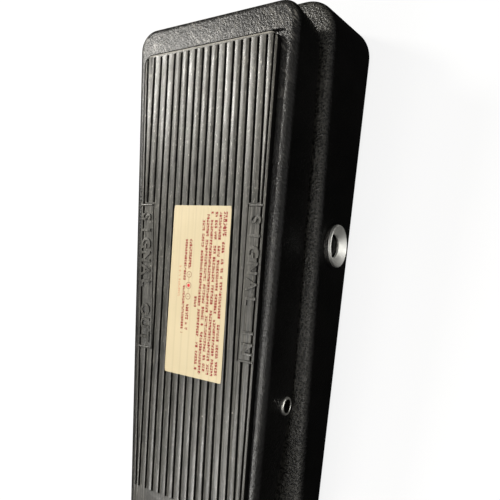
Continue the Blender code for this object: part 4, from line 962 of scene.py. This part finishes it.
def label_material():
    """Cream film with lines of unreadable small red marks and a plain polarity symbol."""
    m = Mat("label_print")
    inv = (SLOPE @ LABEL_FRAME).inverted()
    loc, rot, _ = inv.decompose()
    mp = m.new("ShaderNodeMapping", vector_type="POINT")
    m.link(m.tc.outputs["Object"], mp.inputs["Vector"])
    e = rot.to_euler("XYZ")
    mp.inputs["Location"].default_value = loc
    mp.inputs["Rotation"].default_value = (e.x, e.y, e.z)
    s = m.sep(mp.outputs[0])
    x = m.math("MULTIPLY", s[0], 1000.0)        # across, mm, + towards the right edge
    y = m.math("MULTIPLY", s[1], 1000.0)        # along, mm, + towards the toe
    cream = m.mix(m.ramp(m.noise(40.0, 3.0, 0.5), 0.3, 0.7), (0.600, 0.505, 0.318), (0.650, 0.548, 0.352))
    # painted shade: faint darker stripes at the rib pitch, as if the grooves' shade showed through the film
    rib_shade_stripes = m.math("SINE", m.math("MULTIPLY", x, 2 * math.pi / RIB_PITCH))
    cream = m.mix(m.math("MULTIPLY", m.ramp(rib_shade_stripes, 0.6, 1.0), 0.22), cream, (0.43, 0.36, 0.235))

    def line(xc, height, y_start, y_stop, cell, seed, skip=0.2, fill=0.46):
        """One line of letter-like marks between two places along the sticker."""
        v = m.math("DIVIDE", m.math("SUBTRACT", x, xc - height / 2), height)
        inside = m.math("MULTIPLY", m.math("GREATER_THAN", v, 0.0), m.math("LESS_THAN", v, 1.0))
        inside = m.math("MULTIPLY", inside, m.math("LESS_THAN", y, y_start))
        inside = m.math("MULTIPLY", inside, m.math("GREATER_THAN", y, y_stop))
        t = m.math("DIVIDE", m.math("SUBTRACT", y_start, y), cell)
        idx = m.math("FLOOR", t)
        fx = m.math("FRACT", t)
        letter = m.math("LESS_THAN", fx, 0.82)
        col = m.math("FLOOR", m.math("MULTIPLY", fx, 3.0 / 0.82))
        rowi = m.math("FLOOR", m.math("MULTIPLY", v, 5.0))
        wn = m.new("ShaderNodeTexWhiteNoise", noise_dimensions="3D")
        comb = m.new("ShaderNodeCombineXYZ")
        m.link(m.math("ADD", idx, seed * 17.0), comb.inputs[0])
        m.link(col, comb.inputs[1])
        m.link(rowi, comb.inputs[2])
        m.link(comb.outputs[0], wn.inputs["Vector"])
        on = m.math("GREATER_THAN", wn.outputs[0], fill)
        gap = m.new("ShaderNodeTexWhiteNoise", noise_dimensions="1D")
        m.link(m.math("ADD", idx, seed * 3.7), gap.inputs["W"])
        word = m.math("GREATER_THAN", gap.outputs[0], skip)
        return m.math("MULTIPLY", m.math("MULTIPLY", inside, letter), m.math("MULTIPLY", on, word))

    half_l = LABEL_L / 2
    ink = line(12.9, 2.0, half_l - 2.5, half_l - 13.0, 1.55, 1.0, 0.0, 0.28)
    lines = [(12.6, 1.35, half_l - 15.5, -half_l + 3.0), (10.4, 1.35, half_l - 2.6, -half_l + 2.2),
             (8.2, 1.35, half_l - 2.6, -half_l + 2.6), (6.0, 1.35, half_l - 2.6, -half_l + 3.4),
             (3.8, 1.35, half_l - 2.6, -half_l + 2.0), (1.6, 1.35, half_l - 2.6, -half_l + 2.4),
             (-0.6, 1.25, half_l - 40.0, half_l - 46.0)]
    for k, (xc, h, a, b) in enumerate(lines):
        ink = m.math("MAXIMUM", ink, line(xc, h, a, b, 1.22, k + 2.0, 0.14, 0.22))
    for k, (xc, h, a, b) in enumerate([(-4.9, 1.5, half_l - 15.0, half_l - 28.0), (-4.9, 1.5, half_l - 44.0, half_l - 55.5),
                                       (-7.4, 1.3, half_l - 14.0, half_l - 57.0)]):
        ink = m.math("MAXIMUM", ink, line(xc, h, a, b, 1.15, k + 20.0, 0.13, 0.22))
    faint = line(-10.2, 1.1, half_l - 27.0, half_l - 42.0, 1.0, 31.0, 0.12, 0.5)

    def dist(cx, cy):
        dx = m.math("SUBTRACT", x, cx)
        dy = m.math("SUBTRACT", y, cy)
        return m.math("SQRT", m.math("ADD", m.math("MULTIPLY", dx, dx), m.math("MULTIPLY", dy, dy)))

    def ring(cx, cy, r, wd):
        d = m.math("ABSOLUTE", m.math("SUBTRACT", dist(cx, cy), r))
        return m.math("LESS_THAN", d, wd)

    def bar(x0, x1, y0, y1):
        a = m.math("MULTIPLY", m.math("GREATER_THAN", x, x0), m.math("LESS_THAN", x, x1))
        b = m.math("MULTIPLY", m.math("GREATER_THAN", y, y0), m.math("LESS_THAN", y, y1))
        return m.math("MULTIPLY", a, b)

    sy = half_l - 35.6
    sx = -4.9
    symbol = ring(sx, sy + 4.9, 1.25, 0.14)
    symbol = m.math("MAXIMUM", symbol, ring(sx, sy - 4.9, 1.25, 0.14))
    symbol = m.math("MAXIMUM", symbol, ring(sx, sy, 1.35, 0.14))
    symbol = m.math("MAXIMUM", symbol, bar(sx - 0.09, sx + 0.09, sy + 1.3, sy + 3.7))
    symbol = m.math("MAXIMUM", symbol, bar(sx - 0.09, sx + 0.09, sy - 3.7, sy - 1.3))
    symbol = m.math("MAXIMUM", symbol, bar(sx - 0.09, sx + 0.09, sy + 4.3, sy + 5.5))
    symbol = m.math("MAXIMUM", symbol, bar(sx - 0.6, sx + 0.6, sy + 4.81, sy + 4.99))
    symbol = m.math("MAXIMUM", symbol, bar(sx - 0.6, sx + 0.6, sy - 4.99, sy - 4.81))
    dot = m.math("LESS_THAN", dist(sx, sy), 0.75)
    tone = m.mix(ink, cream, (0.27, 0.016, 0.009))
    tone = m.mix(m.math("MULTIPLY", faint, 0.7), tone, (0.50, 0.10, 0.05))
    tone = m.mix(m.math("MULTIPLY", symbol, 0.9), tone, (0.26, 0.09, 0.05))
    tone = m.mix(dot, tone, (0.70, 0.01, 0.03))
    fine = m.noise(900.0, 2.0, 0.5)
    return m.set(color=tone, rough=m.ramp(fine, 0.3, 0.7, 0.34, 0.46), spec=0.45, normal=m.bump(fine, 0.06, 0.00005))


label = piece("sticker", make_label(), label_material(), "treadle_body", ("label",), angle=40)

# ---------------------------------------------------------------- dished jack rings, axis end, feet
def ring_profile():
    """Rolled rim, then a straight funnel that runs down into the wall."""
    crest = arc(9.33, 1.1, 0.42, 0, 130, 10)
    throat = arc(5.95, -1.25, 0.55, 135, 180, 4)
    return ([(9.75, 0.15)] + crest + throat + [(5.38, -1.9), (7.4, -1.9), (7.4, 0.15)])


for side, tag in ((1, "input"), (-1, "output")):
    piece(tag + "_ring", turned(ring_profile(), (side, 0, 0), (side * JACK_FACE_X, JACK_Y, JACK_Z), 128), M_RING, "base",
          (tag + "_jack_ring",), angle=50)


def make_shaft():
    """Round bar across the treadle; both ends are bored and their rims rolled over."""
    h = SHAFT_HALF
    top = [(0.0, h - 4.0), (2.8, h - 4.0), (2.85, h - 0.5)]
    top += [(2.85 + 0.4 * (1 - math.cos(math.radians(a))), h - 0.4 + 0.4 * math.sin(math.radians(a))) for a in (15, 35, 55, 75, 90)]
    top += [(3.4 + 0.6 * math.sin(math.radians(a)), h - 0.6 + 0.6 * math.cos(math.radians(a))) for a in (0, 20, 40, 60, 80, 90)]
    return turned(top + [(r, -z) for r, z in reversed(top)], (1, 0, 0), (0, PIVOT_Y, PIVOT_Z), 96)


def shaft_material():
    """Turned steel, bright on the rim of each end, with painted shade darkening the bore."""
    m = Mat("turned_shaft_end")
    s = m.sep(m.tc.outputs["Object"])
    dy = m.math("SUBTRACT", s[1], PIVOT_Y * MM)
    dz = m.math("SUBTRACT", s[2], PIVOT_Z * MM)
    r = m.math("SQRT", m.math("ADD", m.math("MULTIPLY", dy, dy), m.math("MULTIPLY", dz, dz)))
    n1 = m.noise(140.0, 4.0, 0.6)
    tone = m.mix(m.math("MULTIPLY", m.ramp(n1, 0.4, 0.75), 0.5), (0.80, 0.79, 0.74), (0.48, 0.47, 0.43))
    # painted shade: the bore inside each end is coloured near black
    tone = m.mix(m.ramp(r, 3.10 * MM, 2.86 * MM), tone, (0.030, 0.027, 0.022))
    return m.set(color=tone, metal=1.0, rough=m.ramp(n1, 0.3, 0.7, 0.36, 0.50), normal=m.bump(n1, 0.05, 0.00004))


piece("pivot_shaft_turned", make_shaft(), shaft_material(), "treadle_body", ("pivot_shaft",), angle=50)


def refine(node, mat, body, bevel=0.2, segments=2, angle=35, limit=40):
    """The CAD node's own shape with its seams welded, its edges eased and a finished surface."""
    src = frame["nodes"][node].data
    bm = bmesh.new()
    bm.from_mesh(src)
    bmesh.ops.remove_doubles(bm, verts=bm.verts, dist=1e-6)
    bmesh.ops.dissolve_limit(bm, angle_limit=math.radians(1.0), verts=bm.verts, edges=bm.edges)
    me = to_mesh(bm)
    return piece(node + "_finished", me, mat, body, (node,), bevel=bevel, segments=segments, angle=angle, limit=limit)


DONE = {"pivot_shaft", "base_casting", "treadle", "tread_pad", "label", "input_jack_ring", "output_jack_ring"}
LOOKS = {
    "rubber": (M_RUBBER, 0.3), "steel": (M_STEEL, 0.15), "nylon": (M_NYLON, 0.2), "brass": (M_BRASS, 0.0),
    "nickel": (M_NICKEL, 0.2), "black_plastic": (M_PLASTIC, 0.25), "plate_steel": (M_PLATE, 0.2),
    "battery_case": (M_BATTERY, 0.3), "board_green": (M_BOARD, 0.1), "red_plastic": (M_RED, 0.3),
    "blue_plastic": (M_BLUE, 0.2), "amber_plastic": (M_AMBER, 0.4),
}
LEAD = {"battery_lead_red": (0.40, 0.02, 0.02), "battery_lead_black": (0.012, 0.012, 0.012),
        "input_lead": (0.55, 0.55, 0.52), "output_lead": (0.02, 0.10, 0.32), "pot_lead": (0.48, 0.38, 0.03),
        "switch_lead": (0.02, 0.22, 0.07)}
node_body = {n: b for b, ns in frame["record"]["behaviour"]["bodies"].items() for n in ns}
for sp in frame["record"]["subparts"]:
    node, slot_name = sp["node"], sp["material_slot"]
    if node in DONE:
        continue
    if node in LEAD:
        c = LEAD[node]
        mat = plastic_material(node + "_sleeve", tuple(v * 0.85 for v in c), c, 0.4)
        refine(node, mat, node_body[node], bevel=0.0, angle=60)
        continue
    mat, bevel = LOOKS[slot_name]
    refine(node, mat, node_body[node], bevel=bevel)

for t in list(shop.objects):
    bpy.data.objects.remove(t, do_unlink=True)
bpy.data.collections.remove(shop)

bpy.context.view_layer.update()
for _o in bpy.data.objects:
    if _o.name.endswith("_ring") or _o.name.startswith("pivot_shaft_turned"):
        METAL_ONLY.objects.link(_o)
